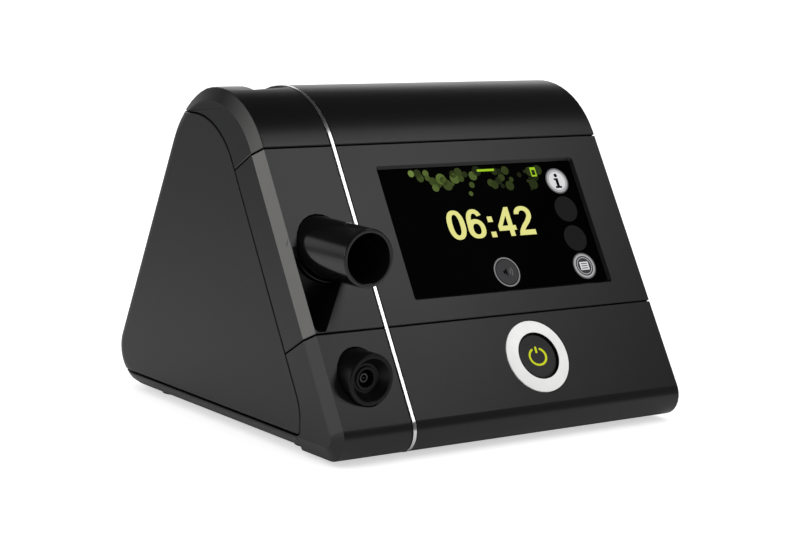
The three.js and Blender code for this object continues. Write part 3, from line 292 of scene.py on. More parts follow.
metalValues = {
    "brightTrim": {"colour": (0.95, 0.95, 0.95), "roughness": 0.22, "stretch": (1, 0.08, 0.08),
                   "depth": 0.004},
    "steel": {"colour": (0.56, 0.57, 0.59), "roughness": 0.34, "stretch": (0.1, 1, 1)},
    # Painted shade: steel darkened for the barrel and pin deep in the heater socket.
    "darkNickel": {"colour": (0.075, 0.075, 0.08), "roughness": 0.32},
    "contactBrass": {"colour": (0.62, 0.48, 0.24), "roughness": 0.3},
}


def displayGlass(graph, place):
    haze = graph.noise(place, 22 * mm, 3)
    return {
        "Base Color": graph.blendColour(haze, paint(0.0004), paint(0.0012)),
        "Roughness": 0.06 + haze * 0.05, "Specular IOR Level": 0.002,
    }


# A lit sign of the display. Where dim is given, the piece's own tone darkens it towards that share.
def glowing(graph, place, colour, dim=0.0):
    pixels = graph.cells(place, 0.3 * mm)
    light = graph.blendColour(pixels.atMost(1.0) * 0.25, paint(colour), shade(colour, 0.75))
    if dim:
        tone = graph.node("ShaderNodeAttribute", {"attribute_name": "tone"}, output="Fac")
        light = graph.blendColour(tone, shade(colour, dim), light)
    return {
        "Base Color": paint(0.001), "Roughness": 0.3, "Specular IOR Level": 0.03,
        "Emission Color": light, "Emission Strength": 1.0,
    }


def circuitBoard(graph, place):
    tracks = graph.cells(place, 2.4 * mm, "DISTANCE_TO_EDGE")
    mask = graph.ramp(tracks, [(0.0, 1.0), (0.09, 1.0), (0.13, 0.0)])
    broad = graph.noise(place, 12 * mm, 2)
    green = graph.blendColour(broad, paint((0.012, 0.07, 0.03)), paint((0.02, 0.10, 0.045)))
    return {
        "Base Color": graph.blendColour(mask, green, paint((0.05, 0.19, 0.08))),
        "Roughness": 0.38 + broad * 0.1, "Normal": graph.bump(mask, 0.03 * mm, 0.5),
    }


# The copper is painted dark in bands between the turns, as painted shade in the grooves between wires.
def windingCopper(graph, place):
    turns = graph.node("ShaderNodeTexWave", {"bands_direction": "Z"}, {
        "Vector": place, "Scale": 900, "Distortion": 0.6})
    patch = graph.noise(place, 5 * mm, 2)
    return {
        "Base Color": graph.blendColour(turns, paint((0.16, 0.05, 0.02)), paint((0.55, 0.22, 0.09))),
        "Metallic": 0.7, "Roughness": 0.3 + patch * 0.2, "Normal": graph.bump(turns, 0.1 * mm, 0.6),
    }


# The pores are painted much darker than the walls between them, as painted shade in the foam's hollows.
def openFoam(graph, place, colour, pore, depth):
    pores = graph.cells(place, pore * mm, "SMOOTH_F1")
    fine = graph.noise(place, 0.4 * mm, 3)
    walls = graph.ramp(pores, [(0.0, 0.05), (0.35, 0.35), (0.6, 1.0)])
    return {
        "Base Color": graph.blendColour(walls, shade(colour, 0.25), shade(colour, 1.15)),
        "Roughness": 0.9 + (fine - 0.5) * 0.1, "Specular IOR Level": 0.2,
        "Normal": graph.bump(walls * 0.8 + fine * 0.2, depth * mm, 0.8),
    }


def fleece(graph, place, colour):
    fibres = graph.noise(graph.stretched(place, (0.25, 1, 1)), 0.35 * mm, 4, 0.7)
    cross = graph.noise(graph.stretched(place, (1, 0.3, 0.3)), 0.3 * mm, 4, 0.7)
    felt = (fibres + cross) * 0.5
    return {
        "Base Color": graph.blendColour(felt, shade(colour, 0.8), shade(colour, 1.05)),
        "Roughness": 0.95 - felt * 0.08, "Specular IOR Level": 0.2,
        "Normal": graph.bump(felt, 0.25 * mm, 0.7),
    }


for plastic, own in plasticValues.items():
    makeFinish(plastic, mouldedPlastic, own)
for metal, own in metalValues.items():
    makeFinish(metal, brushedMetal, own)
makeFinish("displayGlass", displayGlass)
makeFinish("circuitGreen", circuitBoard)
makeFinish("windingCopper", windingCopper)
makeFinish("greyFoam", openFoam, (0.13, 0.14, 0.15), 1.1, 0.5)
makeFinish("whiteFleece", fleece, (0.80, 0.82, 0.83))

slotOfNode = {part["node"]: part["material_slot"] for part in frame["record"]["subparts"]}
bodyOfNode = {node: body for body, nodes in frame["record"]["behaviour"]["bodies"].items() for node in nodes}


# A slot's finish has the slot's name, written as one word.
def finishOf(node):
    first, *others = slotOfNode[node].split("_")
    return finishes[first + "".join(word.capitalize() for word in others)]


print("finishes made:", len(finishes))


# Making pieces.

def addPiece(name, mesh, finish, body="housing", replaced=()):
    piece = addObject(name, mesh)
    if not mesh.materials:
        mesh.materials.append(finish)
    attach(piece, body)
    if replaced:
        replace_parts(piece, *replaced)
    return piece


# A piece that stands for one solid: it has the solid's body and hides the solid.
def standIn(node, mesh, finish, ending="_skin"):
    return addPiece(node + ending, mesh, finish, bodyOfNode[node], [node])


def finishedMesh(holder, name):
    bpy.context.view_layer.update()
    state = bpy.context.evaluated_depsgraph_get()
    mesh = bpy.data.meshes.new_from_object(holder.evaluated_get(state), preserve_all_data_layers=True,
                                           depsgraph=state)
    mesh.name = name
    bpy.data.objects.remove(holder)
    return mesh


def meshFrom(build, name, place=None):
    shape = bmesh.new()
    build(shape)
    if place is not None:
        bmesh.ops.transform(shape, matrix=place, verts=shape.verts)
    mesh = bpy.data.meshes.new(name)
    shape.to_mesh(mesh)
    shape.free()
    return mesh


def smoothed(mesh, degrees=32):
    mesh.shade_smooth()
    mesh.set_sharp_from_angle(angle=math.radians(degrees))
    return mesh


edgeSegments = 2
mergeDistance = 2e-5
flatAngle = 0.7


# An object with a merged copy of a solid's mesh, ready for modifiers.
def holderOf(node, angle, mend=None):
    def build(shape):
        shape.from_mesh(solids[node].data)
        bmesh.ops.remove_doubles(shape, verts=shape.verts, dist=mergeDistance)
        if mend:
            mend(shape)
        bmesh.ops.dissolve_limit(shape, angle_limit=math.radians(angle), verts=shape.verts,
                                 edges=shape.edges, delimit={"NORMAL"})
    return addObject(node + "_holder", meshFrom(build, node + "_holder"))


# A copy of a solid with merged faces, softened edges and smooth curves stands for it.
def dressNode(node, bevel, angle=27, finish=None, repaint=None, crease=None, mend=None):
    holder = holderOf(node, flatAngle, mend)
    softening = holder.modifiers.new("edges", "BEVEL")
    softening.width = bevel * mm
    softening.segments = edgeSegments
    softening.limit_method = "ANGLE"
    softening.angle_limit = math.radians(angle)
    softening.use_clamp_overlap = False
    smoothed(holder.data, crease or angle + 8)
    flats = holder.modifiers.new("flats", "WEIGHTED_NORMAL")
    flats.keep_sharp = True
    mesh = finishedMesh(holder, node + "_skin")
    low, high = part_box(node)
    for corner in mesh.vertices:
        corner.co = [min(max(value, least), most) for value, least, most in zip(corner.co, low, high)]
    mesh.materials.clear()
    mesh.materials.append(finish or finishOf(node))
    if repaint:
        repaint(mesh)
    standIn(node, mesh, None)


frontward = Vector((0, -0.86, 0.51)).normalized()
facingPower = 8


# The frame of a node's outermost face to the sloping front: across it, up it, and out of it.
def frontFace(node):
    mesh = solids[node].data
    best = max(mesh.polygons, key=lambda face: face.area * max(0, face.normal.dot(frontward)) ** facingPower)
    out = best.normal.normalized()
    across = Vector((1, 0, 0))
    up = out.cross(across).normalized()
    level = max(corner.co.dot(out) for corner in mesh.vertices)
    rim = [corner.co for corner in mesh.vertices if corner.co.dot(out) > level - mergeDistance]
    centre = out * level
    for direction in (across, up):
        spread = [point.dot(direction) for point in rim]
        centre += direction * (min(spread) + max(spread)) / 2
    return placeOf(across, up, out, centre)


def placeOf(across, up, out, centre):
    turn = Matrix((across, up, out)).transposed().to_4x4()
    return Matrix.Translation(centre) @ turn


# The point at an angle on a circle.
def around(radius, angle, x=0, y=0):
    return x + radius * math.cos(angle), y + radius * math.sin(angle)


# A profile of (radius, height) in millimetres, turned about the frame's third axis, stands for a solid.
def turnNode(node, profile, finish, place, steps=96, sharp=32):
    def build(shape):
        rings = []
        for radius, height in profile:
            count = steps if radius > 0.001 else 1
            rings.append([shape.verts.new((*around(radius * mm, 2 * math.pi * i / steps), height * mm))
                          for i in range(count)])
        for first, second in zip(rings, rings[1:] + rings[:1]):
            if len(first) == 1 and len(second) == 1:
                continue
            for i in range(steps):
                j = (i + 1) % steps
                corners = [first[i % len(first)], first[j % len(first)], second[j % len(second)],
                           second[i % len(second)]]
                corners = [corner for k, corner in enumerate(corners) if corner not in corners[:k]]
                shape.faces.new(corners)
        bmesh.ops.recalc_face_normals(shape, faces=shape.faces)
    return standIn(node, smoothed(meshFrom(build, node + "_skin", place), sharp), finish)


# Rounds the corners of a closed profile that are given a radius as their third value.
def roundedProfile(points, steps=5):
    made = []
    count = len(points)
    for i, point in enumerate(points):
        here = Vector(point[:2])
        radius = point[2] if len(point) > 2 else 0
        if not radius:
            made.append(tuple(here))
            continue
        before = (Vector(points[i - 1][:2]) - here).normalized()
        after = (Vector(points[(i + 1) % count][:2]) - here).normalized()
        half = before.angle(after) / 2
        centre = here + (before + after).normalized() * radius / math.sin(half)
        reach = radius / math.tan(half)
        start, end = here + before * reach - centre, here + after * reach - centre
        turn = start.angle_signed(end)
        for k in range(steps + 1):
            angle = -turn * k / steps
            made.append((centre.x + start.x * math.cos(angle) - start.y * math.sin(angle),
                         centre.y + start.x * math.sin(angle) + start.y * math.cos(angle)))
    return made


# Flat outlines in millimetres, raised from one height to another, with holes left by inner outlines.
def plateMesh(name, outlines, low, high, place=None):
    def build(shape):
        edges = []
        for outline in outlines:
            corners = [shape.verts.new((x * mm, y * mm, low * mm)) for x, y in outline]
            edges += [shape.edges.new((corners[i - 1], corners[i])) for i in range(len(corners))]
        filled = bmesh.ops.triangle_fill(shape, use_beauty=True, use_dissolve=False, edges=edges)
        faces = [item for item in filled["geom"] if isinstance(item, bmesh.types.BMFace)]
        raised = bmesh.ops.extrude_face_region(shape, geom=faces)
        tops = [item for item in raised["geom"] if isinstance(item, bmesh.types.BMVert)]
        bmesh.ops.translate(shape, verts=tops, vec=(0, 0, (high - low) * mm))
        bmesh.ops.recalc_face_normals(shape, faces=shape.faces)
    return meshFrom(build, name, place)


def circleOutline(radius, x=0, y=0, steps=48):
    return [around(radius, 2 * math.pi * i / steps, x, y) for i in range(steps)]


def rectangleOutline(width, height, x=0, y=0, radius=0, steps=6):
    if not radius:
        return [(x + i * width / 2, y + j * height / 2) for i, j in ((-1, -1), (1, -1), (1, 1), (-1, 1))]
    made = []
    for k, (i, j) in enumerate(((1, 1), (-1, 1), (-1, -1), (1, -1))):
        corner = (x + i * (width / 2 - radius), y + j * (height / 2 - radius))
        made += [around(radius, math.pi / 2 * (k + step / steps), *corner) for step in range(steps + 1)]
    return made


# An arc band from one angle to another, with round ends.
def bandOutline(radius, stroke, start, end, x=0, y=0, steps=40):
    half = stroke / 2
    made = [around(radius + half, start + (end - start) * i / steps, x, y) for i in range(steps + 1)]
    made += capOutline(half, end, around(radius, end, x, y))
    made += [around(radius - half, end + (start - end) * i / steps, x, y) for i in range(steps + 1)]
    return made + capOutline(half, start + math.pi, around(radius, start, x, y))


def capOutline(half, first, centre, steps=6):
    return [around(half, first + math.pi * i / steps, *centre) for i in range(1, steps)]


# Geometry Nodes trees: named inputs, and a plain mesh as the result.

def growPiece(name, build, values, finish, spots=()):
    tree = bpy.data.node_groups.new(name, "GeometryNodeTree")
    kinds = {"Spots": "NodeSocketGeometry"}
    for label, value in values.items():
        kinds[label] = "NodeSocketInt" if isinstance(value, int) else "NodeSocketFloat"
    kinds["Finish"] = "NodeSocketMaterial"
    for label, kind in kinds.items():
        tree.interface.new_socket(label, in_out="INPUT", socket_type=kind)
    tree.interface.new_socket("Geometry", in_out="OUTPUT", socket_type="NodeSocketGeometry")
    graph = Graph(tree)
    given = graph.node("NodeGroupInput")
    wires = {label: given.output(label) for label in kinds}
    whole = graph.node("GeometryNodeRealizeInstances", None, {0: build(graph, wires)})
    painted = graph.node("GeometryNodeSetMaterial", None, {"Geometry": whole, "Material": wires["Finish"]})
    graph.node("NodeGroupOutput", None, {0: painted})
    holder = addObject(name + "_holder", bpy.data.meshes.new(name + "_holder"))
    holder.data.from_pydata(spots, [], [])
    growing = holder.modifiers.new("grow", "NODES")
    growing.node_group = tree
    settings = {**values, "Finish": finish}
    for item in tree.interface.items_tree:
        if item.in_out == "INPUT" and item.name in settings:
            growing[item.identifier] = settings[item.name]
    return finishedMesh(holder, name)


# Housing shells.

shellValues = {"bevel": 0.4, "angle": 27}
crownValues = {"bevel": 0.34, "angle": 23.5}
panelValues = {"bevel": 0.24, "angle": 75, "crease": 20}
bevelValues = {"line": -80.9, "steepest": -0.97, "shallowest": -0.5, "crownShallowest": -0.6,
               "frontward": -0.2}
recessValues = {"left": -83, "right": -50, "low": 46, "high": 82, "back": -44, "outerDepth": -0.45}


# True on the bevel along the left end.
def isBevelFace(face, shallowest):
    leftward = bevelValues["steepest"] < face.normal.x < shallowest
    return leftward and face.center.x < bevelValues["line"] * mm


def isFrontBevel(face):
    return isBevelFace(face, bevelValues["shallowest"]) and face.normal.y < bevelValues["frontward"]


# The recess under the outlet is painted a slightly darker, less glossy black, as painted shade, and the bevel
# beside it is painted pale, as a painted highlight.
def paintRecess(mesh):
    mesh.materials.append(finishes["recessBlack"])
    mesh.materials.append(finishes["bevelGrey"])
    inside = recessValues
    for face in mesh.polygons:
        centre = face.center / mm
        within = inside["left"] < centre.x < inside["right"] and inside["low"] < centre.z < inside["high"]
        if isFrontBevel(face):
            face.material_index = 2
        elif within and centre.y < inside["back"] and not isOuterFace(centre):
            face.material_index = 1


# The recess's wall ends flush with the bevel.
def flattenBevel(shape):
    bevel = max((face for face in solids["display_bezel"].data.polygons if isFrontBevel(face)),
                key=lambda face: face.area)
    for corner in shape.verts:
        proud = (corner.co - bevel.center).dot(bevel.normal)
        if corner.co.x < bevelValues["line"] * mm and 0 < proud < mm:
            corner.co -= bevel.normal * proud


# The crown's bevel is painted paler than its top at the front, as a painted highlight, and fades behind.
def paintCrownBevel(mesh):
    mesh.materials.append(finishes["bevelDim"])
    for face in mesh.polygons:
        if isBevelFace(face, bevelValues["crownShallowest"]):
            face.material_index = 1


crownEndValues = {"radius": 7.5, "start": -77.7, "middle": -80.2, "edge": -82.7, "rearSlope": 0.9,
                  "slack": 0.1, "outward": 10, "leastLean": 0.3}


# Behind its top, the crown's left end is rounded off to meet the side cover below it.
def roundCrownEnd(shape):
    size = crownEndValues
    for place in (size["start"], size["middle"]):
        bmesh.ops.bisect_plane(shape, geom=shape.verts[:] + shape.edges[:] + shape.faces[:], dist=1e-6,
                               plane_co=(place * mm, 0, 0), plane_no=(1, 0, 0))
    low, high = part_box("crown_cover")
    inside = Vector((0, (low.y + high.y) / 2, low.z))
    moves = []
    for corner in shape.verts:
        beyond = size["start"] - corner.co.x / mm
        if not size["slack"] < beyond < size["start"] - size["edge"] + size["slack"]:
            continue
        outer, seams = [], []
        for face in corner.link_faces:
            if abs(face.normal.x) < 0.1:
                outward = (face.calc_center_median() - inside).dot(face.normal)
                (outer if outward > size["outward"] * mm else seams).append(face.normal)
        if not outer:
            continue
        out = sum(outer, Vector()).normalized()
        turn = min(1, max(0, out.y / size["rearSlope"]))
        depth = (size["radius"] - math.sqrt(size["radius"] ** 2 - beyond ** 2)) * turn * turn * (3 - 2 * turn)
        along = Vector((0, -seams[0].z, seams[0].y)) if seams else Vector((0, out.y, out.z))
        lean = along.dot(out)
        if abs(lean) > size["leastLean"]:
            moves.append((corner, along * (-depth * mm / lean)))
    for corner, move in moves:
        corner.co += move


faceFrame = frontFace("display_glass")
faceOut = Vector(faceFrame.col[2][:3])
glassSink = 1.8


# True on the sloping face itself and on the edge strips beside it.
def isOuterFace(centre):
    depth = (centre * mm - faceFrame.translation).dot(faceOut) / mm - glassSink
    return depth > recessValues["outerDepth"] or centre.x < bevelValues["line"]


for shell in ("left_side_cover", "right_side_panel", "rear_housing", "base_tray"):
    dressNode(shell, **shellValues)
dressNode("crown_cover", repaint=paintCrownBevel, mend=roundCrownEnd, **crownValues)
dressNode("lower_front_panel", **panelValues)
dressNode("display_bezel", repaint=paintRecess, mend=flattenBevel, **panelValues)
dressNode("side_bulkhead", bevel=0.2)
dressNode("accent_strip", bevel=0.12, angle=40)
print("shells dressed")


# Tongues of the lap joints: they close the front's seams to light at both ends.

tongueValues = {"spans": ((-82.6, -51.6), (-49.0, 84.8)), "half": 0.6, "sink": 1.3, "depth": 0.8,
                "seam": 0.6}


def makeTongues(values):
    toFace = faceFrame.inverted()
    outer = [toFace @ corner.co / mm for corner in solids["display_bezel"].data.vertices]
    levels = [point.y for point in outer if point.z > glassSink - 0.05]
    seams = {"lower_seam_tongue": min(levels) - values["seam"] / 2,
             "upper_seam_tongue": max(levels) + values["seam"] / 2}
    middle = faceFrame.translation.x / mm
    high = glassSink - values["sink"]
    for name, level in seams.items():
        outlines = [rectangleOutline(end - start, 2 * values["half"], (start + end) / 2 - middle, level)
                    for start, end in values["spans"]]
        mesh = plateMesh(name, outlines, high - values["depth"], high, faceFrame)
        # The tongues take the darker recess black, as painted shade in the seams.
        addPiece(name, mesh, finishes["recessBlack"])


makeTongues(tongueValues)


# The lip under the crown's rear left corner, in the seam over the side cover.
lipValues = {"x": -80.3, "y": 29.45, "width": 4.6, "depth": 5.9, "low": 123.5, "high": 124.1}


def makeLip(values):
    outline = rectangleOutline(values["width"], values["depth"], values["x"], values["y"])
    mesh = plateMesh("crown_seam_lip", [outline], values["low"], values["high"])
    # The lip takes the darker recess black, as painted shade in the seam.
    addPiece("crown_seam_lip", mesh, finishes["recessBlack"])


makeLip(lipValues)
print("tongues made")


# Hose outlet.

outletValues = {"tipRadius": 11.2, "rootRadius": 11.7, "bore": 9.4, "length": 40.8, "rim": 0.4, "lead": 1.6}


def forwardPlace(node):
    low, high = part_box(node)
    return placeOf(Vector((1, 0, 0)), Vector((0, 0, 1)), Vector((0, -1, 0)),
                   Vector(((low.x + high.x) / 2, low.y, (low.z + high.z) / 2)))


def makeOutlet(values):
    bore, length, rim = values["bore"], values["length"], values["rim"]
    profile = roundedProfile([
        (bore, -length), (values["rootRadius"], -length), (values["tipRadius"], 0, rim),
        (bore + 0.2, 0, rim), (bore, -values["lead"])])
    turnNode("outlet_port", profile, finishes["glossBlack"], forwardPlace("outlet_port"), 128, 40)


makeOutlet(outletValues)
dressNode("outlet_collar", bevel=0.35, angle=35, finish=finishes["glossBlack"])

# Heater socket with its barrel and pin.

socketValues = {"radius": 10.1, "length": 20, "rim": 0.75, "dish": 8.3, "dishDepth": 4.3, "seat": 4.6,
                "seatRise": 0.7, "slope": 1.1, "hole": 3.4, "holeDepth": 7.4, "edge": 0.2,
                "barrel": 1.9, "barrelBore": 1.1, "barrelLength": 6.2, "pin": 0.5, "pinTip": 0.35}


def makeSocket(values):
    length, radius, hole = values["length"], values["radius"], values["hole"]
    seat, edge, floor = values["seat"], values["edge"], -values["dishDepth"]
    step, bottom = floor + values["seatRise"], floor - values["holeDepth"]
    socket = [(0, -length), (radius, -length, 0.3), (radius, 0, values["rim"]), (values["dish"], 0, 0.35),
              (seat + values["slope"], floor, 0.5), (seat, floor, edge), (seat, step, edge),
              (hole, step, edge), (hole, bottom), (0, bottom)]
    length, radius, bore = values["barrelLength"], values["barrel"], values["barrelBore"]
    barrel = [(0, -length), (radius, -length), (radius, 0, edge), (bore, 0, 0.15), (bore, -length / 2),
              (0, -length / 2)]
    low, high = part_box("heater_pin")
    back, radius = (low.y - high.y) / mm, values["pin"]
    pin = [(0, back), (radius, back), (radius, 0, values["pinTip"]), (0, 0)]
    # The socket takes the darker recess black, and its barrel and pin the darkened steel, both as painted
    # shade in the socket's hollow.
    for node, profile, finish, steps in (("heater_socket", socket, "recessBlack", 96),
                                         ("heater_barrel", barrel, "darkNickel", 48),
                                         ("heater_pin", pin, "darkNickel", 32)):
        turnNode(node, roundedProfile(profile), finishes[finish], forwardPlace(node), steps)


makeSocket(socketValues)

# Power button, its white ring and its symbol.

buttonValues = {
    "ringOuter": 15.1, "ringInner": 9.85, "ringThickness": 1.3, "ringEdge": 0.25, "ringRise": 0.8,
    "wall": 0.25, "radius": 9.4, "flange": 10.6, "flangeThickness": 1.0, "stem": 2.6, "stemLength": 4.2,
    "edge": 0.8, "dish": 0.5, "dishMargin": 1.6, "symbolRadius": 3.5, "symbolStroke": 0.85,
    "symbolGap": 30, "barFrom": 1.5, "barTo": 4.2, "symbolLift": 0.03, "symbolWiden": 1.15,
    "symbolShift": 0.4,
}
dishSteps = 12


# The dish's height from the button's rim in millimetres, negative inside it.
def dishHeight(radius, values):
    rim = values["radius"] - values["dishMargin"]
    return -values["dish"] * (1 - min(radius / rim, 1) ** 2)


def makeButton(values):
    place = frontFace("button_trim_ring")
    toRing = place.inverted()
    outer, inner, thick = values["ringOuter"], values["ringInner"], values["ringThickness"]
    edge, rise = values["ringEdge"], values["ringRise"]
    profile = roundedProfile([(inner, -thick), (outer, -thick), (outer, 0, edge),
                              (inner + values["wall"], rise, edge / 2), (inner, rise - edge / 2)])
    ring = turnNode("button_trim_ring", profile, finishes["whitePlastic"], place, 128, 40)
    ring.data.materials.append(finishes["housingBlack"])
    for face in ring.data.polygons:
        centre = toRing @ face.center / mm
        face.material_index = int(math.hypot(centre.x, centre.y) < inner + 0.02)
    heights = [(toRing @ corner.co).z / mm for corner in solids["power_button"].data.vertices]
    top = max(heights) + rise
    makeButtonFace(values, place @ Matrix.Translation((0, 0, top * mm)), min(heights) - top)


def makeButtonFace(values, place, low):
    radius, flange, stem = values["radius"], values["flange"], values["stem"]
    stemTop = low + values["stemLength"]
    shoulder = stemTop + values["flangeThickness"]
    corner = roundedProfile([(radius, shoulder), (radius, 0, values["edge"]), (0.8 * radius, 0)])[1:-1]
    reaches = [corner[-1][0] * (1 - i / dishSteps) for i in range(1, dishSteps + 1)]
    dish = [(reach, dishHeight(reach, values)) for reach in reaches]
    profile = [(0, low), (stem, low), (stem, stemTop), (flange, stemTop), (flange, shoulder),
               (radius, shoulder), *corner, *dish]
    turnNode("power_button", profile, finishes["buttonGrain"], place, 96, 40)
    makeSymbol(values, place)


def makeSymbol(values, place):
    gap = math.radians(values["symbolGap"])
    quarter = math.pi / 2
    stroke, lift = values["symbolStroke"], values["symbolLift"]
    band = bandOutline(values["symbolRadius"], stroke, quarter + gap, quarter + 2 * math.pi - gap)
    middle = (values["barFrom"] + values["barTo"]) / 2
    bar = rectangleOutline(stroke, values["barTo"] - values["barFrom"], 0, middle, 0.3)
    for name, outline in (("power_symbol_ring", band), ("power_symbol_bar", bar)):
        mesh = plateMesh(name, [outline], -lift, lift)
        for corner in mesh.vertices:
            corner.co.x = corner.co.x * values["symbolWiden"] + values["symbolShift"] * mm
            corner.co.z += dishHeight(math.hypot(corner.co.x, corner.co.y) / mm, values) * mm
        mesh.transform(place)
        addPiece(name, mesh, finishes["symbolGreen"], "power_button")


makeFinish("symbolGreen", glowing, (0.60, 0.66, 0.02))
makeButton(buttonValues)
for inner in ("switch_plunger", "tact_switch", "button_board"):
    dressNode(inner, bevel=0.15)
print("outlet, socket and button made")


# Display: the glass, and the lit graphics just over it.

screenValues = {
    "lift": 0.02, "thickness": 0.02, "layer": 0.022,
    "clock": {"left": -18.7, "pitch": 9.75, "colonPitch": 7.8, "width": 8.8, "low": -4.4, "high": 8.45},
    "side": {"x": 40.3, "radius": 5.8, "rows": (18.75, 5.85, -7.45, -20.05)},
    "lower": {"x": -0.7, "y": -19.75, "radius": 6.4},
    "icon": {"x": 29.1, "y": 23.4, "width": 2.9, "height": 4.2, "stroke": 0.55},
    "bar": {"x": 4.4, "y": 25.3, "width": 9.0, "height": 1.0},
}
glowColours = {
    "clockYellow": (0.80, 0.78, 0.27), "iconSilver": (0.42, 0.42, 0.43), "iconRim": (0.13, 0.13, 0.135),
    "iconDim": (0.22, 0.22, 0.225), "iconPale": (0.72, 0.72, 0.73), "iconDark": (0.0103, 0.0103, 0.0108),
    "iconShade": (0.045, 0.045, 0.047), "iconBlack": (0.0012, 0.0012, 0.0014),
    "iconGreen": (0.36, 0.62, 0.02),
}
for glow, colour in glowColours.items():
    makeFinish(glow, glowing, colour)
makeFinish("dotOlive", glowing, (0.16, 0.24, 0.05), 0.05)


def addGraphic(name, outlines, finish, level=0):
    low = screenValues["lift"] + level * screenValues["layer"]
    mesh = plateMesh(name, outlines, low, low + screenValues["thickness"], faceFrame)
    addPiece(name, mesh, finishes[finish])


# The digits are drawn in a box from -1 to 1 both ways: bold and narrow, as on a clock.
def roundOutline(x, y, wide, tall, start=0, end=360, fullness=2.3, steps=40):
    made = []
    for i in range(steps + (end - start < 360)):
        angle = math.radians(start + (end - start) * i / steps)
        across, up = math.cos(angle), math.sin(angle)
        made.append((x + wide * math.copysign(abs(across) ** (2 / fullness), across),
                     y + tall * math.copysign(abs(up) ** (2 / fullness), up)))
    return made


def digitOutlines(digit):
    if digit == "0":
        return [roundOutline(0, 0, 1, 1), roundOutline(0, 0, 0.42, 0.71)]
    if digit == "6":
        hook = roundOutline(0.02, 0, 0.98, 1, 32, 180)
        bowl = roundOutline(0, -0.34, 1, 0.66, 180, 360)
        back = roundOutline(0, -0.34, 1, 0.66, 0, 112, 2.1)
        inner = roundOutline(0.02, 0, 0.44, 0.70, 42, 158)
        return [hook[:-1] + bowl[:-1] + back + inner[::-1], roundOutline(0.03, -0.36, 0.43, 0.37)]
    if digit == "4":
        return [[(0.16, -1), (0.69, -1), (0.69, -0.60), (1.02, -0.60), (1.02, -0.27), (0.69, -0.27),
                 (0.69, 1), (0.22, 1), (-1.04, -0.26), (-1.04, -0.60), (0.16, -0.60)],
                [(0.16, -0.27), (0.16, 0.43), (-0.52, -0.27)]]
    if digit == "2":
        crown = roundOutline(0.0, 0.42, 0.98, 0.58, -28, 176, 2.2)
        inner = roundOutline(0.0, 0.42, 0.43, 0.28, -34, 172, 2.2)
        return [[(-1, -1), (0.98, -1), (0.98, -0.65), (-0.24, -0.65), (0.10, -0.42), (0.55, -0.15)] + crown
                + inner[::-1] + [(0.10, 0.02), (-0.45, -0.33), (-0.83, -0.66)]]
    return [rectangleOutline(0.58, 0.38, 0, y) for y in (0.24, -0.81)]


def makeClock(clock):
    middle, half = (clock["low"] + clock["high"]) / 2, (clock["high"] - clock["low"]) / 2
    x = clock["left"]
    for i, (digit, step) in enumerate(zip("06:42", ("pitch", "colonPitch", "colonPitch", "pitch", "pitch"))):
        outlines = [[(x + a * clock["width"] / 2, middle + b * half) for a, b in outline]
                    for outline in digitOutlines(digit)]
        if digit == ":":
            addGraphic("clock_colon_low", outlines[1:], "clockYellow")
            addGraphic("clock_colon_high", outlines[:1], "clockYellow")
        else:
            addGraphic(f"clock_digit_{i + 1}", outlines, "clockYellow")
        x += clock[step]


def makeSideButtons(side):
    x, radius = side["x"], side["radius"]
    info, second, third, listed = side["rows"]
    for name, y in (("info_button", info), ("list_button", listed)):
        addGraphic(name + "_rim", [circleOutline(radius, x, y)], "iconRim")
        addGraphic(name + "_ring", [circleOutline(radius * 0.9, x, y)], "iconSilver", 1)
    addGraphic("info_button_face", [circleOutline(radius * 0.72, x, info)], "iconPale", 2)
    addGraphic("info_dot", [circleOutline(0.85, x, info + 2.5)], "iconBlack", 3)
    stem = [(-1.5, 1.2), (0.75, 1.2), (0.75, -2.4), (1.7, -2.4), (1.7, -3.3), (-1.6, -3.3), (-1.6, -2.4),
            (-0.75, -2.4), (-0.75, 0.35), (-1.5, 0.35)]
    addGraphic("info_stem", [[(x + a, info + b) for a, b in stem]], "iconBlack", 3)
    addGraphic("list_button_face", [circleOutline(radius * 0.76, x, listed)], "iconShade", 2)
    addGraphic("list_button_line", [circleOutline(radius * 0.66, x, listed),
                                    circleOutline(radius * 0.60, x, listed)], "iconSilver", 3)
    addGraphic("list_sheet", [rectangleOutline(4.6, 3.6, x, listed, 0.3)], "iconPale", 3)
    for i in range(3):
        addGraphic(f"list_line_{i + 1}", [rectangleOutline(3.2, 0.36, x, listed + 1.0 - i)], "iconBlack", 4)
    for name, y in (("blank_button_1", second), ("blank_button_2", third)):
        addGraphic(name, [circleOutline(radius, x, y)], "iconDark")


def makeLowerButton(lower):
    x, y, radius = lower["x"], lower["y"], lower["radius"]
    addGraphic("ramp_button_rim", [circleOutline(radius, x, y)], "iconDim")
    addGraphic("ramp_button_gap", [circleOutline(radius * 0.9, x, y)], "iconBlack", 1)
    addGraphic("ramp_button_face", [circleOutline(radius * 0.84, x, y)], "iconShade", 2)
    horn = [(-1.9, -0.7), (-1.0, -0.7), (0.1, -1.9), (0.1, 1.9), (-1.0, 0.7), (-1.9, 0.7)]
    addGraphic("ramp_symbol", [[(x + a, y + b) for a, b in horn]], "iconBlack", 3)
    for i in range(2):
        band = bandOutline(1.3 + i * 1.1, 0.4, -0.7, 0.7, x + 0.4, y, 10)
        addGraphic(f"ramp_wave_{i + 1}", [band], "iconRim", 3)


def makeStatusIcons(icon, bar):
    x, y, width, height, stroke = (icon[key] for key in ("x", "y", "width", "height", "stroke"))
    inner = rectangleOutline(width - 2 * stroke, height - 3.4 * stroke, x, y - stroke * 0.4)
    addGraphic("card_icon", [rectangleOutline(width, height, x, y, 0.3), inner], "iconGreen", 3)
    addGraphic("status_bar", [rectangleOutline(**bar, radius=0.4)], "iconGreen", 3)


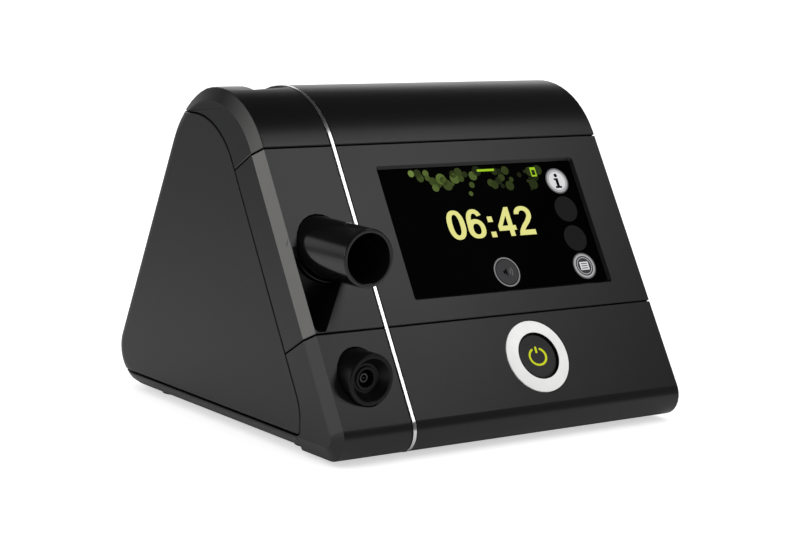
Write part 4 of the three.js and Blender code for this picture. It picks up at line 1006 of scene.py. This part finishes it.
# Round dots scattered along the screen's top, more of them near its edge and brighter to the left.
dotValues = {"Count": 70.0, "Least": 0.7, "Most": 2.6, "Seed": 11, "Across": 67.0, "Up": 12.5,
             "Thickness": 0.02}
dotPlace = {"x": -0.9, "y": 19.4}


def randomValue(graph, least, most, seed):
    return graph.node("FunctionNodeRandomValue", {"data_type": "FLOAT"}, {2: least, 3: most, "Seed": seed},
                      output=1)


def dotTree(graph, wires):
    spots = graph.node("GeometryNodeMeshGrid", None, {
        "Size X": wires["Across"], "Size Y": wires["Up"], "Vertices X": 24, "Vertices Y": 4})
    scattered = graph.node("GeometryNodeDistributePointsOnFaces", None, {
        0: spots, "Density": wires["Count"] / (wires["Across"] * wires["Up"]), "Seed": wires["Seed"]})
    across, up, _ = graph.apart(graph.node("GeometryNodeInputPosition"))
    high = up / wires["Up"] + 0.5
    nearLeft = (0.25 - across / wires["Across"]).atLeast(0.12).atMost(0.6) * 1.6
    kept = graph.node("FunctionNodeCompare", {"data_type": "FLOAT", "operation": "LESS_THAN"}, {
        0: randomValue(graph, 0.0, 1.0, wires["Seed"] + 3), 1: high * 1.3 + 0.18})
    fewer = graph.node("GeometryNodeSeparateGeometry", {"domain": "POINT"}, {
        "Geometry": scattered, "Selection": kept})
    size = randomValue(graph, wires["Least"], wires["Most"], wires["Seed"] + 5)
    tone = randomValue(graph, 0.0, 1.0, wires["Seed"] + 8)
    toned = graph.node("GeometryNodeStoreNamedAttribute", {"data_type": "FLOAT", "domain": "POINT"}, {
        "Geometry": fewer, "Name": "tone", "Value": (tone ** 1.3) * nearLeft})
    disc = graph.node("GeometryNodeMeshCylinder", {"fill_type": "NGON"}, {
        "Vertices": 20, "Radius": 1.0, "Depth": wires["Thickness"]})
    return graph.node("GeometryNodeInstanceOnPoints", None, {
        "Points": toned, "Instance": disc, "Scale": size})


# The dots are grown in millimetres, then set level and moved to their place.
def makeDots():
    mesh = growPiece("screen_dots", dotTree, dotValues, finishes["dotOlive"])
    for corner in mesh.vertices:
        level = screenValues["lift"] * mm + (corner.co.z > 0) * dotValues["Thickness"] * mm
        corner.co = ((corner.co.x + dotPlace["x"]) * mm, (corner.co.y + dotPlace["y"]) * mm, level)
    mesh.transform(faceFrame)
    addPiece("screen_dots", mesh, finishes["dotOlive"])


dressNode("display_glass", bevel=0.2)
makeClock(screenValues["clock"])
makeSideButtons(screenValues["side"])
makeLowerButton(screenValues["lower"])
makeStatusIcons(screenValues["icon"], screenValues["bar"])
makeDots()
print("screen made")


# Rear and underside.

for part in ("filter_lid", "power_inlet", "inlet_pin_1", "inlet_pin_2", "memory_card", "cover_release_key",
             "card_reader", "bypass_duct", "docking_seal_front", "docking_seal_rear", "foot_1", "foot_2",
             "foot_3", "foot_4"):
    dressNode(part, bevel=0.2)


# One tree sets a screw with a hexagon socket at the low end of each screw's place.
screwValues = {"Head": 3.0, "Head Height": 1.6, "Socket": 1.4, "Socket Depth": 1.1, "Shank": 1.4,
               "Length": 9.0}
screwNodes = ["base_screw_1", "base_screw_2", "base_screw_3", "base_screw_4"]


def screwTree(graph, wires):
    def barrel(sides, radius, depth, shift):
        made = graph.node("GeometryNodeMeshCylinder", {"fill_type": "NGON"}, {
            "Vertices": sides, "Radius": radius, "Depth": depth})
        moved = graph.node("ShaderNodeCombineXYZ", None, {"Z": shift})
        return graph.node("GeometryNodeTransform", None, {"Geometry": made, "Translation": moved})
    height = wires["Head Height"]
    hollowed = graph.node("GeometryNodeMeshBoolean", {"operation": "DIFFERENCE"}, {
        "Mesh 1": barrel(36, wires["Head"], height, height / 2),
        "Mesh 2": barrel(6, wires["Socket"], wires["Socket Depth"] * 2, 0.0)})
    shank = barrel(24, wires["Shank"], wires["Length"] - height, (wires["Length"] + height) / 2)
    joined = graph.node("GeometryNodeJoinGeometry")
    for piece in (hollowed, shank):
        graph.tree.links.new(piece.socket, joined.socket.node.inputs[0])
    return graph.node("GeometryNodeInstanceOnPoints", None, {"Points": wires["Spots"], "Instance": joined})


def makeScrews(values):
    spots = []
    for node in screwNodes:
        low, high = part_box(node)
        spots.append(((low.x + high.x) / 2, (low.y + high.y) / 2, low.z))
    sizes = {label: value * mm for label, value in values.items()}
    mesh = growPiece("base_screws", screwTree, sizes, finishes["steel"], spots)
    addPiece("base_screws", smoothed(mesh), finishes["steel"], replaced=screwNodes)


makeScrews(screwValues)
print("small parts dressed")


# Soft filter pads, slightly drawn in along slow waves.
padValues = {
    "coarse_filter": {"crown": 0.35, "fill": 0.9},
    "fine_filter": {"crown": 0.12, "fill": 0.6},
    "silencer_foam": {"crown": 0.3, "fill": 0.9},
}
waveValues = {"voxel": 0.8, "smoothing": 5, "seed": 4, "count": 6, "slow": 180, "fast": 420, "phase": 6.3}


def makeWaves(values):
    noise = random.Random(values["seed"])
    waves = []
    for i in range(values["count"]):
        rate, phase = noise.uniform(values["slow"], values["fast"]), noise.uniform(0, values["phase"])
        way = Vector([noise.uniform(-1, 1) for axis in range(3)]).normalized()
        waves.append((rate, phase, way))
    return waves


def makePad(node, values):
    holder = holderOf(node, 1)
    fine = holder.modifiers.new("fine", "REMESH")
    fine.mode = "VOXEL"
    fine.voxel_size = waveValues["voxel"] * mm
    soft = holder.modifiers.new("soft", "SMOOTH")
    soft.iterations = waveValues["smoothing"]
    mesh = finishedMesh(holder, node + "_pad")
    waves = makeWaves(waveValues)
    moved = []
    for corner in mesh.vertices:
        swell = sum(0.5 + 0.5 * math.sin(rate * corner.co.dot(way) + phase) for rate, phase, way in waves)
        moved.append(corner.co - corner.normal * values["crown"] * mm * swell / len(waves))
    for corner, place in zip(mesh.vertices, moved):
        corner.co = place
    mesh.shade_smooth()
    mesh.materials.clear()
    pad = standIn(node, mesh, finishOf(node), "_pad")


for padName, padSet in padValues.items():
    makePad(padName, padSet)
print("pads made")


# Every solid left showing gets its procedural finish.
replaced = {node for piece in bpy.data.objects for node in piece.get("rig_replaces", [])}
for node, solid in solids.items():
    if node not in replaced:
        solid.data.materials.clear()
        solid.data.materials.append(finishOf(node))


# Studio: pale floor, white backdrop, three soft lamps.

studioValues = {
    "floorSize": 30.0, "floorColour": 0.78, "floorGlow": 0.57, "ambient": 0.92,
    "mirrored": [(0.0, 0.72), (0.18, 0.72), (0.8, 0.30)],
    "backdrop": [(0.0, 0.5), (0.5, 0.7), (0.60, 1.4), (0.67, 1.4), (0.72, 0.06), (1.0, 0.005)],
    "front": [(0.0, 0.08), (0.32, 0.08), (0.5, 1.0)],
    "sides": [(0.0, 0.3), (0.3, 0.42), (0.72, 1.0)],
    "middle": (0, 0, 0.07),
}
lampValues = {
    "keyLamp": {"towards": (0.505, -0.52, 0.68), "across": (0.815, 0.30, -0.496), "distance": 1.5,
                "width": 0.46, "height": 0.62, "power": 2.1},
    "leftLamp": {"towards": (-0.955, 0.205, 0.211), "across": (0.21, 0.978, 0), "distance": 1.3,
                 "width": 0.5, "height": 0.5, "power": 1.7},
    "rearLamp": {"towards": (0.1, 0.86, 0.5), "across": (-1, 0, 0), "distance": 1.5,
                 "width": 0.5, "height": 0.4, "power": 1.6},
}


# Masks of the rays that the camera sends, and of those that a mirror or a glass sends on.
def rayMasks(graph):
    camera = graph.node("ShaderNodeLightPath", output="Is Camera Ray")
    return camera, camera.output("Is Glossy Ray").atLeast(camera.output("Is Transmission Ray"))


def makeFloor(values):
    def build(shape):
        bmesh.ops.create_grid(shape, x_segments=1, y_segments=1, size=values["floorSize"] / 2)
    mesh = meshFrom(build, "floor")
    material, graph = startFinish("floorPale")
    camera, mirror = rayMasks(graph)
    away = graph.node("ShaderNodeVectorMath", {"operation": "LENGTH"}, {0: graph.place()}, output="Value")
    colour = graph.blendColour(mirror, paint(values["floorColour"]), graph.ramp(away, values["mirrored"]))
    matt = graph.node("ShaderNodeBsdfDiffuse", None, {"Color": colour})
    glow = graph.node("ShaderNodeEmission", None, {
        "Color": paint(1.0), "Strength": camera * values["floorGlow"]})
    both = graph.node("ShaderNodeAddShader", None, {0: matt, 1: glow})
    graph.node("ShaderNodeOutputMaterial", None, {"Surface": both})
    mesh.materials.append(material)
    floor = addObject("floor", mesh)


def makeWorld(values):
    world = bpy.data.worlds.new("studio")
    bpy.context.scene.world = world
    world.use_nodes = True
    world.node_tree.nodes.clear()
    graph = Graph(world.node_tree)
    camera, mirror = rayMasks(graph)
    across, deep, high = graph.apart(graph.node("ShaderNodeTexCoord", output="Generated"))
    rise = graph.ramp(high * 0.5 + 0.5, values["backdrop"])
    front = graph.ramp(deep * 0.5 + 0.5, values["front"])
    backdrop = rise * front * graph.ramp(across * 0.5 + 0.5, values["sides"])
    plain = (1 - camera) * (1 - mirror)
    strength = camera + mirror * backdrop + plain * values["ambient"]
    light = graph.node("ShaderNodeBackground", None, {"Color": paint(1.0), "Strength": strength})
    graph.node("ShaderNodeOutputWorld", None, {"Surface": light})


def makeLamp(name, values, centre):
    data = bpy.data.lights.new(name, "AREA")
    data.shape = "RECTANGLE"
    data.size = values["width"]
    data.size_y = values["height"]
    data.energy = values["power"]
    lamp = addObject(name, data)
    towards = Vector(values["towards"]).normalized()
    up = towards.cross(Vector(values["across"])).normalized()
    lamp.matrix_world = placeOf(up.cross(towards), up, towards, centre + towards * values["distance"])


makeFloor(studioValues)
makeWorld(studioValues)
for lampName, lampSet in lampValues.items():
    makeLamp(lampName, lampSet, Vector(studioValues["middle"]))
bpy.context.scene.view_settings.view_transform = "Standard"
print("studio made")
